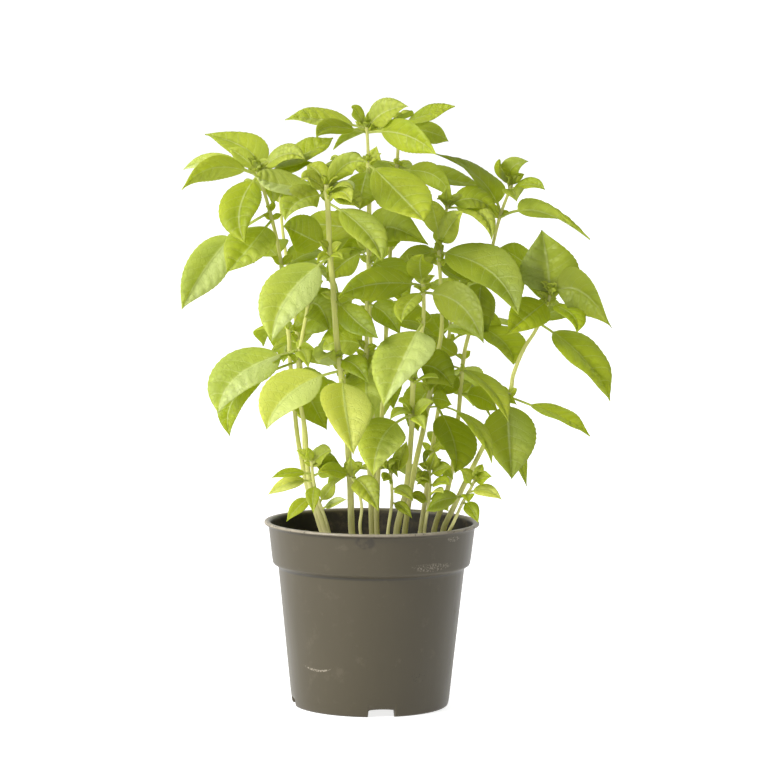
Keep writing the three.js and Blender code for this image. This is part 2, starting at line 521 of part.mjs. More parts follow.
// A notch in the foot ring: narrower and slightly arched at its top.
function notchCutter(turn) {
  const foot = NOTCH_WIDTH / 2;
  const top = foot - NOTCH_TAPER;
  const below = -NOTCH_HEIGHT / 4;
  const outline = new THREE.Shape();
  outline.moveTo(-foot, below);
  outline.lineTo(foot, below);
  outline.lineTo(top, NOTCH_HEIGHT - NOTCH_ARCH);
  outline.quadraticCurveTo(0, NOTCH_HEIGHT + NOTCH_ARCH, -top, NOTCH_HEIGHT - NOTCH_ARCH);
  const depth = 3 * FOOT_RING; // as much inside the ring as outside it
  const cutter = new THREE.ExtrudeGeometry(outline, { depth, bevelEnabled: false, curveSegments: 4 });
  cutter.rotateX(Math.PI / 2);
  cutter.translate(0, -(BODY_FOOT_RADIUS - 2 * FOOT_RING), 0);
  cutter.rotateZ(turn);
  return solidOf(cutter);
}

function drainCutter(turn) {
  const [length, width] = DRAIN_SLOT;
  const cutter = new THREE.BoxGeometry(length, width, 4 * BASE_THICKNESS);
  cutter.translate(0, -DRAIN_SLOT_RADIUS, BASE_UNDERSIDE);
  cutter.rotateZ(turn);
  return solidOf(cutter);
}

// ---------------------------------------------------------------- growing mix
// Fills the pot from the base plate to a crowned, clodded top.
function soilSolid() {
  const shoulder = POT_HEIGHT - BAND_HEIGHT - SHOULDER_HEIGHT;
  const floor = BASE_UNDERSIDE + BASE_THICKNESS + GAP;
  const wallSlope = (BODY_TOP_RADIUS - BODY_FOOT_RADIUS) / shoulder;
  const inner = (height) => BODY_FOOT_RADIUS + wallSlope * height - WALL - 2 * GAP;
  const bandInner = LIP_RADIUS - LIP_OVERHANG - BAND_TAPER - WALL - 2 * GAP;
  const edgeTop = SOIL_TOP - SOIL_CROWN;
  const profile = [[0, floor], [inner(floor), floor], [inner(shoulder), shoulder]];
  const [stepFoot, stepTop] = SOIL_STEP;
  profile.push([inner(shoulder), shoulder + stepFoot], [bandInner, shoulder + stepTop]);
  profile.push([bandInner, edgeTop - SOIL_CLOD]);
  for (let ring = 1; ring <= SOIL_RINGS; ring += 1) {
    const share = 1 - ring / SOIL_RINGS;
    profile.push([bandInner * share, edgeTop + SOIL_CROWN * (1 - share * share)]);
  }
  const geometry = lathe(profile, SOIL_SIDES);
  const place = geometry.attributes.position;
  for (let i = 0; i < place.count; i += 1) {
    const [x, y, z] = [place.getX(i), place.getY(i), place.getZ(i)];
    if (z >= edgeTop) place.setZ(i, z + clod(x, y));
  }
  return solidOf(geometry);
}

// Height of the clods over the crown: three crossing waves.
function clod(x, y) {
  const waves = CLOD_WAVES.map(([inX, inY, start]) => Math.sin(inX * x + inY * y + start));
  return (SOIL_CLOD * waves.reduce((sum, wave) => sum + wave)) / waves.length;
}

// ---------------------------------------------------------------- stems
// The route of a stem: straight down into the mix at its foot, then through its sighted points.
function routeOf({ foot, route }) {
  const root = new THREE.Vector3(foot[0], foot[1], SOIL_TOP - ROOT_DEPTH);
  const collar = new THREE.Vector3(foot[0], foot[1], SOIL_TOP + COLLAR);
  return new THREE.CatmullRomCurve3([root, collar, ...route.map(seen)], false, "catmullrom", 0.5);
}

// The point of a stem at a sighted height.
function pointAtHeight({ route }, curve, height) {
  let below = route.length - 2;
  while (below > 0 && route[below][2] > height) below -= 1;
  const span = route[below + 1][2] - route[below][2];
  const share = Math.min(1, Math.max(0, (height - route[below][2]) / span));
  return curve.getPoint((below + share + 2) / (route.length + 1));
}

// A stem is thicker below each joint, so a long one is several lengths, each thinner than the last.
function lengthsOf(curve) {
  const count = curve.getLength() > LONG_STEM ? STEM_LENGTHS : 1;
  const step = count > 1 ? STEP_ALONG_STEM : STEP_ALONG_SEEDLING;
  const steps = Math.round(curve.getLength() / count / step);
  const lengths = [];
  for (let part = 0; part < count; part += 1) {
    const points = [];
    for (let i = 0; i <= steps; i += 1) points.push(curve.getPointAt((part + i / steps) / count));
    lengths.push(points);
  }
  return lengths;
}

function stemSolid(curve, [footRadius, tipRadius]) {
  const lengths = lengthsOf(curve);
  const thinning = (tipRadius - footRadius) / Math.max(1, lengths.length - 1);
  return join(lengths.map((points, part) => tubeAlong(points, footRadius + thinning * part)));
}

// The hole in the mix that a stem stands in follows the stem, a little wider and deeper.
function holeSolid(plant) {
  const points = lengthsOf(routeOf(plant))[0].slice(0, HOLE_STEPS + 1);
  points[0].z -= 2 * GAP;
  return tubeAlong(points, plant.radius[0] + 2.5 * GAP);
}

// ---------------------------------------------------------------- leaves
// Half the width of a blade, as a share of its widest, from its base (0) to its tip (1).
function bladeOutline(share) {
  const late = share ** 3;
  const oval = Math.sin(Math.PI * share ** BLADE_SKEW) ** (BLADE_FULLNESS + TIP_POINT * late);
  return oval * (1 - TIP_TAPER * late);
}

function facingOf([lean, slew]) {
  const toViewer = THREE.MathUtils.degToRad(lean);
  const toRight = THREE.MathUtils.degToRad(slew);
  return new THREE.Vector3(
    Math.sin(toRight),
    -Math.sin(toViewer) * Math.cos(toRight),
    Math.cos(toViewer) * Math.cos(toRight),
  );
}

// A leaf: petiole and blade in one closed sheet of even thickness, from a point sunk in its stem
// to the point of the tip. Its midrib is an arc; each row across it has an edge, the midrib and
// an edge, and the edges stand up and wave. Both faces are split along the same diagonals.
function leafSolid(from, tip, width, arch, turn, petiole) {
  const [across, up] = arch;
  const top = from.clone().lerp(tip, 0.5).add(new THREE.Vector3(2 * across, 0, 2 * up));
  const midrib = new THREE.QuadraticBezierCurve3(from, top, tip);
  const facing = facingOf(turn);
  const shares = BLADE_ROWS.find((blade) => width < blade.width).rows;
  const positions = [];
  const put = (point) => positions.push(point.x, point.y, point.z);
  put(from.clone().addScaledVector(midrib.getTangent(0), -ROOT_SUNK));
  shares.forEach((share, row) => {
    const sway = row % 2 ? 1 : -1;
    const half = Math.max(PETIOLE, (width / 2) * bladeOutline(share) * (1 + EDGE_WAVE * sway));
    const along = petiole + (1 - petiole) * share;
    const forward = midrib.getTangent(along);
    const face = facing.clone().addScaledVector(forward, -facing.dot(forward)).normalize();
    const side = new THREE.Vector3().crossVectors(forward, face);
    const lift = EDGE_LIFT * half * (1 + LIFT_WAVE * sway);
    for (const [layer, edge] of LEAF_RING) {
      const point = midrib.getPoint(along).addScaledVector(side, edge * half);
      put(point.addScaledVector(face, (layer * BLADE) / 2 + Math.abs(edge) * lift));
    }
  });
  put(tip);
  const ring = LEAF_RING.length;
  const last = shares.length - 1;
  const end = ring * shares.length + 1;
  const index = [];
  for (let corner = 0; corner < ring; corner += 1) {
    const next = (corner + 1) % ring;
    index.push(0, 1 + next, 1 + corner);
    for (let row = 0; row < last; row += 1) {
      const [a, b] = [1 + ring * row + corner, 1 + ring * row + next];
      if (corner < ring / 2) index.push(a, b, b + ring, a, b + ring, a + ring);
      else index.push(a, b, a + ring, b, b + ring, a + ring);
    }
    index.push(1 + ring * last + corner, 1 + ring * last + next, end);
  }
  const geometry = new THREE.BufferGeometry();
  geometry.setAttribute("position", new THREE.Float32BufferAttribute(positions, 3));
  geometry.setIndex(index);
  return solidOf(geometry);
}

function leafySolids(plant) {
  const curve = routeOf(plant);
  const leaves = plant.leaves.map(([height, tip, width, arch, facing, petiole]) =>
    leafSolid(pointAtHeight(plant, curve, height), seen(tip), width, arch, facing, petiole),
  );
  return { stem: stemSolid(curve, plant.radius), leaves };
}

// ---------------------------------------------------------------- assembly
const POT_FINISH = { color: 0x6e6555, roughness: 0.55, metalness: 0 };
const SOIL_FINISH = { color: 0x2e2013, roughness: 1, metalness: 0 };
const STEM_FINISH = { color: 0x8fa83c, roughness: 0.5, metalness: 0 };
const SEEDLING_FINISH = { color: 0xa9bd55, roughness: 0.5, metalness: 0 };

function named(name, solid, finish) {
  const mesh = new THREE.Mesh(geometryOf(solid), new THREE.MeshStandardMaterial(finish));
  mesh.name = name;
  return mesh;
}

const group = new THREE.Group();
group.add(named("pot", potSolid(), POT_FINISH));
let soil = soilSolid();
for (const plant of Object.values(STEMS)) soil = soil.subtract(holeSolid(plant));
group.add(named("soil", soil, SOIL_FINISH));
for (const [name, plant] of Object.entries(STEMS)) {
  const { stem, leaves } = leafySolids(plant);
  const finish = name.startsWith("seedling") ? SEEDLING_FINISH : STEM_FINISH;
  group.add(named(name, join([stem, ...leaves]), finish));
}

// The part's origin is the middle of the bottom of its box.
const box = new THREE.Box3().setFromObject(group, true);
const middle = box.getCenter(new THREE.Vector3());
group.position.set(-middle.x, -middle.y, 0);
group.updateMatrixWorld(true);

export default group;
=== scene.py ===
"""A potted basil plant: a taupe nursery pot of growing mix, full of basil stems and seedlings.

Plan lengths are millimetres from the pot's axis and its foot; meshes are metres in the frame.
"""
import math

import bpy
import numpy as np
from mathutils import Matrix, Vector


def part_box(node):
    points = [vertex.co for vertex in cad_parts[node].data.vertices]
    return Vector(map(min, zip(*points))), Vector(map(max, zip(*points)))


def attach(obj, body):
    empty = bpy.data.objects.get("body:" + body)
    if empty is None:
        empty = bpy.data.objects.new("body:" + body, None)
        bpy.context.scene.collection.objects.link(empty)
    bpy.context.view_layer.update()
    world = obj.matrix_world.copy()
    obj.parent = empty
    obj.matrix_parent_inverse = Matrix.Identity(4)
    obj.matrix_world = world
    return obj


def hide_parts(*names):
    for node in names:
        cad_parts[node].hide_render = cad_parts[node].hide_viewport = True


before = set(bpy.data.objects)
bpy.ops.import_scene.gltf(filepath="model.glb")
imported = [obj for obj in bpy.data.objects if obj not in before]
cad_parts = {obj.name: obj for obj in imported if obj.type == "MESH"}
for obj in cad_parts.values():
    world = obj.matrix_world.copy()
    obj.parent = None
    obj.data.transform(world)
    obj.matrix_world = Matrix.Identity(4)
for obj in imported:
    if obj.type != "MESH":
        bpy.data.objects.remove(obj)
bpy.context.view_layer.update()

MM = 0.001
TAU = 2 * math.pi
FLIPPED = [1, 0, 3, 2]  # the order of a face's corners that turns it over

# ------------------------------------------------------------ the pot, as in the part's source
LIP_RADIUS = 64.8
POT_HEIGHT = 111.4
LIP_HEIGHT = 2.4
LIP_OVERHANG = 2.6
BAND_HEIGHT = 25.0
BAND_TAPER = 2.6
SHOULDER_HEIGHT = 2.6
BODY_TOP_RADIUS = 56.1
BODY_FOOT_RADIUS = 47.3
WALL = 1.5
FOOT_RING = 3.4
BASE_UNDERSIDE = 5.0
BASE_THICKNESS = 1.6
NOTCH_WIDTH = 16.8
NOTCH_HEIGHT = 4.5
NOTCH_CORNER = 0.5  # how far a notch's top corners hang below that height
NOTCH_BOW = 0.75  # how far its top bows up between them
NOTCH_SIDE = 9  # mm up for each mm in, of its sides
NOTCH_REACH = 6  # height under which the wall is pressed up over a notch
NOTCH_TURN = math.radians(8.8)
NOTCHES = 4
DRAIN_LENGTH = 12.0
DRAIN_WIDTH = 4.0
DRAIN_RADIUS = 30.0
POT_COLUMNS = 240

# Marks on the pot's front: their sighted place, half size, and how far their ends bow up.
SCRATCH = (-31.5, -38, 19.6), (9, 0.8), 2.4
BAND_SCUFF = (37, -45, 81.5), (13, 2.8), 1
LIP_SCUFF = (50, -34, 99), (4, 2), 0
SMUDGE = (-3, -61, 96), (7, 4.5), 0
DARK_SPECKS = (29, -39, 16), (4.5, 4), 0
# Heights on the pot (m): the painted shadow line under its lip, and between which the rim's pale band,
# its chips and the painted shade inside come in.
LIP_LINE = 0.1088
RIM_PALE_BAND = 0.1096, 0.1108
RIM_CHIPS = LIP_LINE, 0.1098
INNER_SHADE_AND_PEAT = 0.1104, 0.1085

SOIL_TOP = 94.0
SOIL_CROWN = 2.5
SOIL_CLOD = 1.3
SOIL_STEP = [1.6, 5]  # over the pot's shoulder, between which the mix widens
SOIL_RINGS = 70
SOIL_COLUMNS = 220
FINE_CLOD = 0.45
GAP = 0.3
ROOT_DEPTH = 13.0
COLLAR = 2  # over the mix, up to which a stem stands straight
CRUMBS = 420
CRUMB_SIZE = [0.5, 1.5]  # radius of the smallest, and how much the largest adds
CRUMB_STRETCH = 0.55, 1.25  # along each axis
CRUMB_UNEVEN = 0.8, 1.15  # at each of its points
CRUMB_CORNERS = 12
CRUMB_ROOM = 4  # between the crumbs' middles and the pot's wall

# Worked out from these: heights and radii of the pot that several outlines share.
LIP_FOOT = POT_HEIGHT - LIP_HEIGHT
BAND_FOOT = POT_HEIGHT - BAND_HEIGHT
SHOULDER = POT_HEIGHT - BAND_HEIGHT - SHOULDER_HEIGHT
BODY_SLOPE = (BODY_TOP_RADIUS - BODY_FOOT_RADIUS) / SHOULDER
BAND_TOP_RADIUS = LIP_RADIUS - LIP_OVERHANG
BAND_FOOT_RADIUS = BAND_TOP_RADIUS - BAND_TAPER
RING_RADIUS = BODY_FOOT_RADIUS - FOOT_RING
FLOOR = BASE_UNDERSIDE + BASE_THICKNESS
NOTCH_HALF_TURN = NOTCH_WIDTH / 2 / BODY_FOOT_RADIUS
DRAIN_HALF_TURN = DRAIN_LENGTH / 2 / DRAIN_RADIUS
DRAIN_INNER, DRAIN_OUTER = DRAIN_RADIUS - DRAIN_WIDTH / 2, DRAIN_RADIUS + DRAIN_WIDTH / 2

# ------------------------------------------------------------ stems and leaves
STEM_RING = 20
STEM_STEP = 1.6
STEM_FULLNESS = 0.86  # keeps the rounded square's corners within the radius
JOINT_SWELL = 0.14  # share by which a stem is thicker at a joint
JOINT_LENGTH = 2.2
PETIOLE_HALF = 0.85
BLADE = 0.34
BLADE_SKEW = 0.8  # below 1 the blade is widest nearer its base
BLADE_FULLNESS = 0.72  # the lower, the fuller its sides
TIP_POINT = 0.35  # how far its sides draw in towards a point
TIP_TAPER = 0.12  # share of the width lost at the tip
EDGE_LIFT = 0.3  # of a blade's edges above the midrib, of the half width
TOOTH = 0.014  # height of the margin's teeth, of the half width
WAVE = 0.04  # height of the blade's waves, of its largest half width
TWIST = 0.25  # radians either way, at the tip
SWAY = 0.03  # sideways bend of the midrib either way, of the leaf's length
RIB = 0.75  # depth of the midrib under the blade, of the petiole's radius there
VEIN_PAIRS = 6
VEIN_SWEEP = 0.34
VEIN_BEND = 1.15
LARGE_LEAF = 14  # width from which a leaf has more rows, more teeth and young leaves at its joint
PETIOLE_ROWS = 8  # the last is the blade's first
LARGE_GRID = 52, 17, 15  # a large blade's rows, points across each face, teeth in its length
SMALL_GRID = 24, 11, 8
JOINT_BUDS = 2
TIP_BUDS = 5
BUD_SIZE = 5, 8
TIP_BUD_SCALE = 1.2
BUD_RISE = 0.3, 1.0  # of the young leaf's length
BUD_LEAN = 40, 70
BUD_WIDTH = 0.6
BUD_ARCH = 0.12
BUD_PETIOLE = 0.05
SEED = 20

# ------------------------------------------------------------ light
DIM_ROOM = 0.27
WHITE_ROOM = 1.1
FLOOR_GLOW = 0.78
FLOOR_REACH = 12  # m
LIT_MIDDLE = np.array([0, 0, 0.2])  # m from the pot's axis, where the lamps look
# Each lamp: its place (m from the pot's axis), its side (m) and its power.
LAMPS = {
    "key_lamp": ((-1.5, -1.1, 1.2), 0.9, 62),
    "fill_lamp": ((1.0, -1.9, 1.0), 1.2, 2),
}
SENSOR = 36  # mm
FAR_CLIP = 30  # m

# The line of sight from which the sighted positions were taken, as in the part's source.
EYE = np.array([8.34, -2000.0, 366.2])
SIGHT_DOWN = math.radians(4.97)
SIGHT_ROLL = math.radians(0.555)
SIGHT_MIDDLE = (10.2, 189.6)
PICTURE_STEP = 0.6  # mm at the pot's axis that one picture point spans
PICTURE_SIDE = 774

# Each stem: its foot on the mix, its route as sighted [across, depth, up], its radius at foot
# and tip, and its leaves: the height where it leaves the stem, its tip, width, arch [across, up],
# facing (degrees from upward to the viewer, degrees to the right), petiole's share, shade.
STEMS = {
  "stem_left_tall": {
    "foot": [-27, -12],
    "route": [[-31, -13, 110], [-34, -13, 119], [-38, -13, 131], [-41, -13, 146], [-44, -13, 164],
              [-48, -13, 206], [-49, -15, 223], [-54, -19, 268], [-61, -22, 298], [-68, -23, 321]],
    "radius": [2.3, 1.1],
    "leaves": [
      [318, [-99, 22, 341], 23, [10, 3], [37, -4], 0.15, "mid"],
      [316, [-113, -44, 308], 15, [-4, 9], [90, 62], 0.15, "light"],
      [317, [-112, -4, 320], 13, [-3, 5], [45, -5], 0.15, "pale"],
      [319, [-85, -20, 333], 10, [0, 2], [70, 0], 0.1, "young"],
      [318, [-39, -40, 326], 15, [1, 6], [48, 10], 0.15, "light"],
      [315, [-34, -24, 324], 17, [2, 0], [32, -13], 0.15, "dark"],
      [317, [-75, -60, 276], 26, [-7, 0], [59, -12], 0.1, "mid"],
      [312, [-59, -8, 299], 11, [3, 3], [71, -15], 0.15, "dark"],
      [289, [-86, -56, 258], 30, [0, 0], [58, -19], 0.14, "light"],
      [294, [-113, -6, 236], 25, [-6, 5], [79, 22], 0.34, "pale"],
      [262, [-70, 34, 264], 28, [0, 9], [10, -20], 0.2, "dark"],
      [258, [-20, 24, 264], 26, [0, 8], [10, 10], 0.2, "dark"],
      [224, [-64, 22, 214], 27, [0, 9], [10, -25], 0.2, "mid"],
      [319, [-22, -14, 339], 24, [6, 0], [27, -9], 0.15, "mid"]
    ]
  },
  "stem_left_low": {
    "foot": [-24, -20],
    "route": [[-27, -21, 104], [-31, -21, 116], [-36, -21, 131], [-38, -21, 149], [-39, -21, 164],
              [-42, -22, 182], [-43, -23, 200], [-41, -24, 218], [-38, -25, 234], [-36, -26, 246]],
    "radius": [2.3, 1.1],
    "leaves": [
      [212, [-91, -50, 174], 36, [-10, 4], [54, -28], 0.15, "pale"],
      [205, [-84, -26, 160], 18, [-14, 4], [55, -20], 0.25, "mid"],
      [238, [-24, -30, 223], 24, [0, 7], [65, 0], 0.12, "dark"],
      [212, [-60, -34, 199], 12, [-7, -1], [25, -35], 0.15, "dark"],
      [204, [-26, -8, 164], 26, [-3, 4], [65, 10], 0.2, "dark"],
      [212, [-24, -40, 202], 11, [-4, 3], [90, -38], 0.12, "mid"],
      [210, [-37, -50, 201], 10, [0, 4], [60, 0], 0.12, "light"],
      [244, [-43, -34, 256], 8, [0, 2], [60, -10], 0.1, "young"],
      [244, [-28, -30, 253], 8, [0, 2], [60, 10], 0.1, "young"]
    ]
  },
  "stem_front": {
    "foot": [-10, -32],
    "route": [[-11, -33, 103], [-12, -34, 134], [-14, -36, 164], [-17, -39, 196], [-20, -41, 218],
              [-22, -43, 248], [-24, -44, 270], [-25, -45, 292], [-26, -45, 311]],
    "radius": [2.5, 1.8],
    "leaves": [
      [304, [-51, -68, 289], 21, [-4, 5], [72, -18], 0.12, "light"],
      [307, [-1, -60, 324], 14, [-2, 7], [78, 27], 0.12, "light"],
      [307, [-41, -52, 314], 12, [-2, 4], [45, 0], 0.1, "young"],
      [305, [-11, -62, 300], 13, [2, 4], [59, -3], 0.1, "young"],
      [300, [7, -80, 265], 21, [6, 1], [60, 11], 0.15, "light"],
      [272, [-52, -56, 286], 23, [-3, 3], [66, -19], 0.12, "dark"],
      [310, [-38, -36, 322], 13, [0, 3], [35, -10], 0.12, "light"],
      [270, [-31, -50, 277], 6, [0, 1], [60, 0], 0.1, "young"],
      [270, [-17, -50, 276], 6, [0, 1], [60, 0], 0.1, "young"],
      [268, [-16, -56, 266], 6, [0, 2], [50, 0], 0.1, "young"],
      [268, [-32, -56, 264], 6, [0, 2], [50, 0], 0.1, "young"],
      [268, [-59, -78, 217], 31, [-7, 1], [64, -7], 0.12, "pale"],
      [242, [5, -66, 219], 17, [0, 0], [64, 1], 0.15, "dark"],
      [205, [-1, -64, 192], 14, [0, 4], [60, 5], 0.12, "dark"],
      [199, [-62, -76, 164], 29, [-10, 4], [60, -15], 0.15, "pale_yellow"],
      [195, [-10, -82, 149], 31, [-1, 5], [64, 14], 0.12, "yellow"],
      [201, [-31, -56, 214], 13, [-4, 3], [51, -33], 0.1, "pale"],
      [308, [-70, -52, 317], 24, [-7, -1], [32, -1], 0.1, "pale"],
      [307, [-10, -58, 307], 12, [2, 3], [40, 20], 0.05, "pale"],
      [305, [-6, -52, 297], 14, [3, 2], [60, 20], 0.1, "light"]
    ]
  },
  "stem_top_centre": {
    "foot": [1, -12],
    "route": [[1, -12, 103], [0, -13, 134], [-2, -14, 164], [-2, -15, 200], [-2, -16, 232],
              [-1, -17, 260], [-1, -18, 290], [-1, -19, 325], [-2, -19, 347]],
    "radius": [2.2, 1],
    "leaves": [
      [345, [23, -36, 358], 17, [-2, 2], [62, 25], 0.15, "light"],
      [342, [40, -58, 329], 19, [2, 5], [90, -62], 0.18, "mid"],
      [345, [-51, -24, 350], 23, [-2, 2], [30, -5], 0.15, "light"],
      [342, [-32, -48, 339], 11, [-6, 4], [61, 14], 0.15, "mid"],
      [346, [-11, -26, 357], 8, [-2, 3], [69, 2], 0.1, "young"],
      [343, [26, -10, 353], 15, [6, 2], [8, -62], 0.12, "dark"],
      [323, [32, -68, 289], 31, [7, -4], [59, 2], 0.06, "mid"],
      [324, [-40, 16, 306], 25, [0, 8], [20, -10], 0.15, "dark"],
      [266, [-24, -6, 265], 12, [1, 8], [90, 56], 0.15, "mid"],
      [264, [22, -42, 236], 24, [0, 7], [60, 10], 0.15, "dark"],
      [212, [-32, -16, 211], 26, [2, 5], [50, -25], 0.15, "bright"],
      [283, [-41, -2, 287], 18, [-3, 2], [90, -62], 0.15, "mid"],
      [272, [-26, -8, 253], 17, [-3, 2], [73, 30], 0.15, "mid"],
      [248, [-48, -2, 224], 25, [-5, -4], [41, 41], 0.15, "dark"],
      [239, [18, -30, 221], 16, [1, 4], [61, -12], 0.15, "dark"],
      [211, [-14, -32, 192], 14, [0, -1], [49, -2], 0.15, "dark"],
      [322, [-6, -34, 296], 22, [-1, -3], [50, 2], 0.1, "dark"],
      [280, [-22, -6, 295], 18, [-2, 1], [90, -40], 0.1, "mid"],
      [205, [-1, -50, 166], 26, [0, 6], [64, -10], 0.12, "bright"],
      [212, [14, -8, 176], 22, [2, 3], [60, 10], 0.1, "mid"]
    ]
  },
  "stem_top_back": {
    "foot": [5, 10],
    "route": [[4, 9, 106], [5, 8, 140], [7, 8, 170], [9, 8, 210], [11, 8, 248], [13, 9, 284],
              [16, 10, 321], [17, 10, 336], [18, 10, 350]],
    "radius": [2.1, 1],
    "leaves": [
      [348, [51, 2, 358], 19, [1, 0], [36, 62], 0.15, "mid"],
      [345, [47, -14, 337], 13, [5, 2], [90, -62], 0.15, "dark"],
      [319, [49, -22, 302], 14, [5, 5], [89, -45], 0.15, "mid"],
      [322, [70, 14, 309], 29, [-1, -1], [23, 11], 0.2, "dark"],
      [275, [35, -8, 275], 26, [-12, 11], [69, 13], 0.15, "light"],
      [342, [-22, 44, 332], 22, [0, 6], [0, -10], 0.15, "mid"],
      [322, [8, 62, 300], 27, [0, 9], [-40, 0], 0.15, "mid"],
      [276, [-28, 50, 262], 27, [0, 8], [-20, -15], 0.15, "dark"],
      [226, [44, 22, 214], 26, [0, 8], [30, 15], 0.15, "dark"]
    ]
  },
  "stem_middle": {
    "foot": [15, -26],
    "route": [[16, -26, 103], [19, -27, 117], [22, -28, 130], [25, -31, 165], [26, -33, 193],
              [29, -35, 212], [32, -37, 230], [32, -39, 248], [30, -40, 261]],
    "radius": [2.8, 1.1],
    "leaves": [
      [228, [8, -88, 178], 37, [0, 4], [66, -16], 0.15, "pale"],
      [250, [-19, -70, 244], 20, [-4, 5], [90, 62], 0.1, "mid"],
      [247, [19, -68, 228], 15, [-3, 1], [62, -21], 0.1, "light"],
      [251, [32, -58, 269], 16, [-2, 3], [85, 4], 0.1, "mid"],
      [246, [68, -82, 216], 23, [3, 7], [85, -9], 0.12, "deep"],
      [172, [2, -66, 136], 28, [-5, 6], [62, -5], 0.25, "bright"],
      [200, [50, -34, 189], 24, [0, 6], [62, 10], 0.15, "dark"],
      [174, [17, -50, 181], 9, [0, 1], [60, 0], 0.1, "bright"],
      [172, [38, -46, 181], 9, [0, 1], [60, 5], 0.1, "bright"],
      [170, [33, -56, 164], 9, [0, 3], [55, 5], 0.1, "bright"],
      [258, [22, -44, 268], 8, [0, 1], [60, -5], 0.1, "young"],
      [173, [12, -54, 170], 9, [0, 3], [55, -10], 0.05, "bright"],
      [194, [33, -56, 205], 10, [0, 2], [60, 0], 0.05, "bright"],
      [191, [41, -58, 195], 10, [0, 2], [55, 15], 0.05, "bright"],
      [192, [19, -56, 199], 9, [0, 2], [60, -15], 0.05, "bright"]
    ]
  },
  "stem_centre_right": {
    "foot": [20, -6],
    "route": [[21, -7, 104], [26, -10, 137], [32, -13, 164], [34, -14, 175], [39, -17, 202],
              [43, -19, 224], [42.5, -20, 248], [41.5, -21, 272], [43, -22, 287], [47, -22, 299]],
    "radius": [2.4, 1],
    "leaves": [
      [275, [36, -44, 302], 14, [1, 3], [80, -4], 0.15, "light"],
      [274, [56, -48, 295], 16, [0, 1], [63, 6], 0.1, "light"],
      [270, [89, -66, 233], 31, [7, 7], [59, 14], 0.05, "dull"],
      [264, [62, -14, 252], 14, [-4, 0], [35, 6], 0.12, "dark"],
      [204, [83, -66, 169], 19, [5, 7], [41, 34], 0.3, "reddish"],
      [178, [73, -70, 144], 16, [3, 11], [58, 37], 0.42, "light"],
      [186, [51, -46, 138], 30, [5, -1], [66, 30], 0.25, "dark"],
      [202, [46, -28, 198], 8, [0, 2], [60, 5], 0.1, "young"],
      [200, [36, -30, 187], 9, [0, 2], [65, 0], 0.1, "mid"],
      [223, [66, -26, 219], 9, [0, 4], [50, 5], 0.15, "pale"],
      [297, [73, -44, 278], 14, [6, 6], [46, 21], 0.12, "light"],
      [297, [76, -26, 292], 22, [1, 8], [40, 14], 0.12, "mid"],
      [297, [46, -30, 309], 7, [0, 1], [70, 0], 0.1, "young"],
      [262, [20, 8, 250], 24, [0, 7], [50, -10], 0.15, "dark"],
      [271, [14, -10, 261], 15, [0, 2], [57, 1], 0.15, "dark"],
      [181, [29, -30, 163], 13, [-4, 2], [52, 6], 0.15, "dark"],
      [183, [49, -36, 179], 12, [1, 2], [90, -62], 0.15, "mid"],
      [190, [23, 10, 166], 22, [0, 3], [60, 0], 0.1, "mid"]
    ]
  },
  "stem_top_right": {
    "foot": [37, 4],
    "route": [[39, 3, 106], [44, 1, 120], [47, 0, 130], [50, -1, 145], [53, -2, 172],
              [56, -3, 206], [60, -3, 224], [67, -2, 250], [73, -4, 272], [78, -6, 292],
              [85, -8, 311]],
    "radius": [2.2, 1],
    "leaves": [
      [293, [38, -4, 330], 27, [8, 3], [8, -27], 0.15, "dark"],
      [291, [132, -38, 278], 23, [-3, 10], [8, 62], 0.25, "mid"],
      [308, [95, -16, 325], 13, [-5, 4], [75, 3], 0.12, "dull"],
      [308, [105, -22, 308], 10, [1, 3], [50, 13], 0.12, "mid"],
      [307, [88, -32, 301], 13, [0, 3], [55, 5], 0.12, "dull"],
      [239, [76, 6, 214], 14, [2, 1], [64, -22], 0.15, "mid"],
      [250, [74, -2, 230], 11, [-5, 2], [71, -15], 0.15, "dark"],
      [229, [86, -22, 203], 28, [5, 1], [43, 32], 0.15, "mid"],
      [262, [90, 44, 238], 25, [0, 8], [-20, 20], 0.15, "mid"],
      [206, [34, -12, 223], 17, [-2, 1], [52, -50], 0.15, "dark"],
      [197, [40, -18, 184], 14, [-1, 0], [55, 6], 0.15, "dark"],
      [185, [77, -22, 175], 14, [2, 3], [90, -61], 0.15, "dark"],
      [311, [78, -18, 326], 9, [-2, 2], [49, -25], 0.1, "mid"],
      [254, [70, -12, 218], 21, [-4, 2], [46, 19], 0.1, "dark"]
    ]
  },
  "stem_right": {
    "foot": [42, -20],
    "route": [[44, -20, 104], [51, -22, 119], [56, -24, 130], [67, -28, 152], [83, -32, 184],
              [86, -33, 197], [92, -33, 212], [99, -33, 223], [104, -33, 234], [109, -33, 247]],
    "radius": [2.3, 1],
    "leaves": [
      [244, [103, -26, 284], 36, [1, -5], [78, 8], 0.12, "grey"],
      [244, [145, -58, 225], 28, [0, 13], [90, -62], 0.12, "deep"],
      [240, [124, -66, 222], 15, [5, 2], [57, 19], 0.12, "mid"],
      [242, [82, -66, 221], 23, [1, 1], [69, 0], 0.12, "mid"],
      [238, [91, -18, 257], 14, [0, 6], [90, -62], 0.12, "dark"],
      [228, [144, -48, 181], 33, [4, 3], [46, 30], 0.15, "mid"],
      [184, [132, -44, 160], 23, [2, 1], [22, 22], 0.25, "mid"],
      [182, [85, -50, 134], 32, [0, 1], [65, 2], 0.1, "dull"],
      [226, [124, 16, 230], 24, [0, 7], [10, 20], 0.15, "mid"],
      [182, [94, -30, 130], 12, [0, 2], [60, 10], 0.1, "dark"],
      [248, [78, -8, 273], 20, [-1, 5], [90, -62], 0.15, "dark"],
      [182, [88, -40, 179], 5, [-1, 2], [90, -42], 0.15, "mid"]
    ]
  },
  "stem_back_left": {
    "foot": [-26, 22],
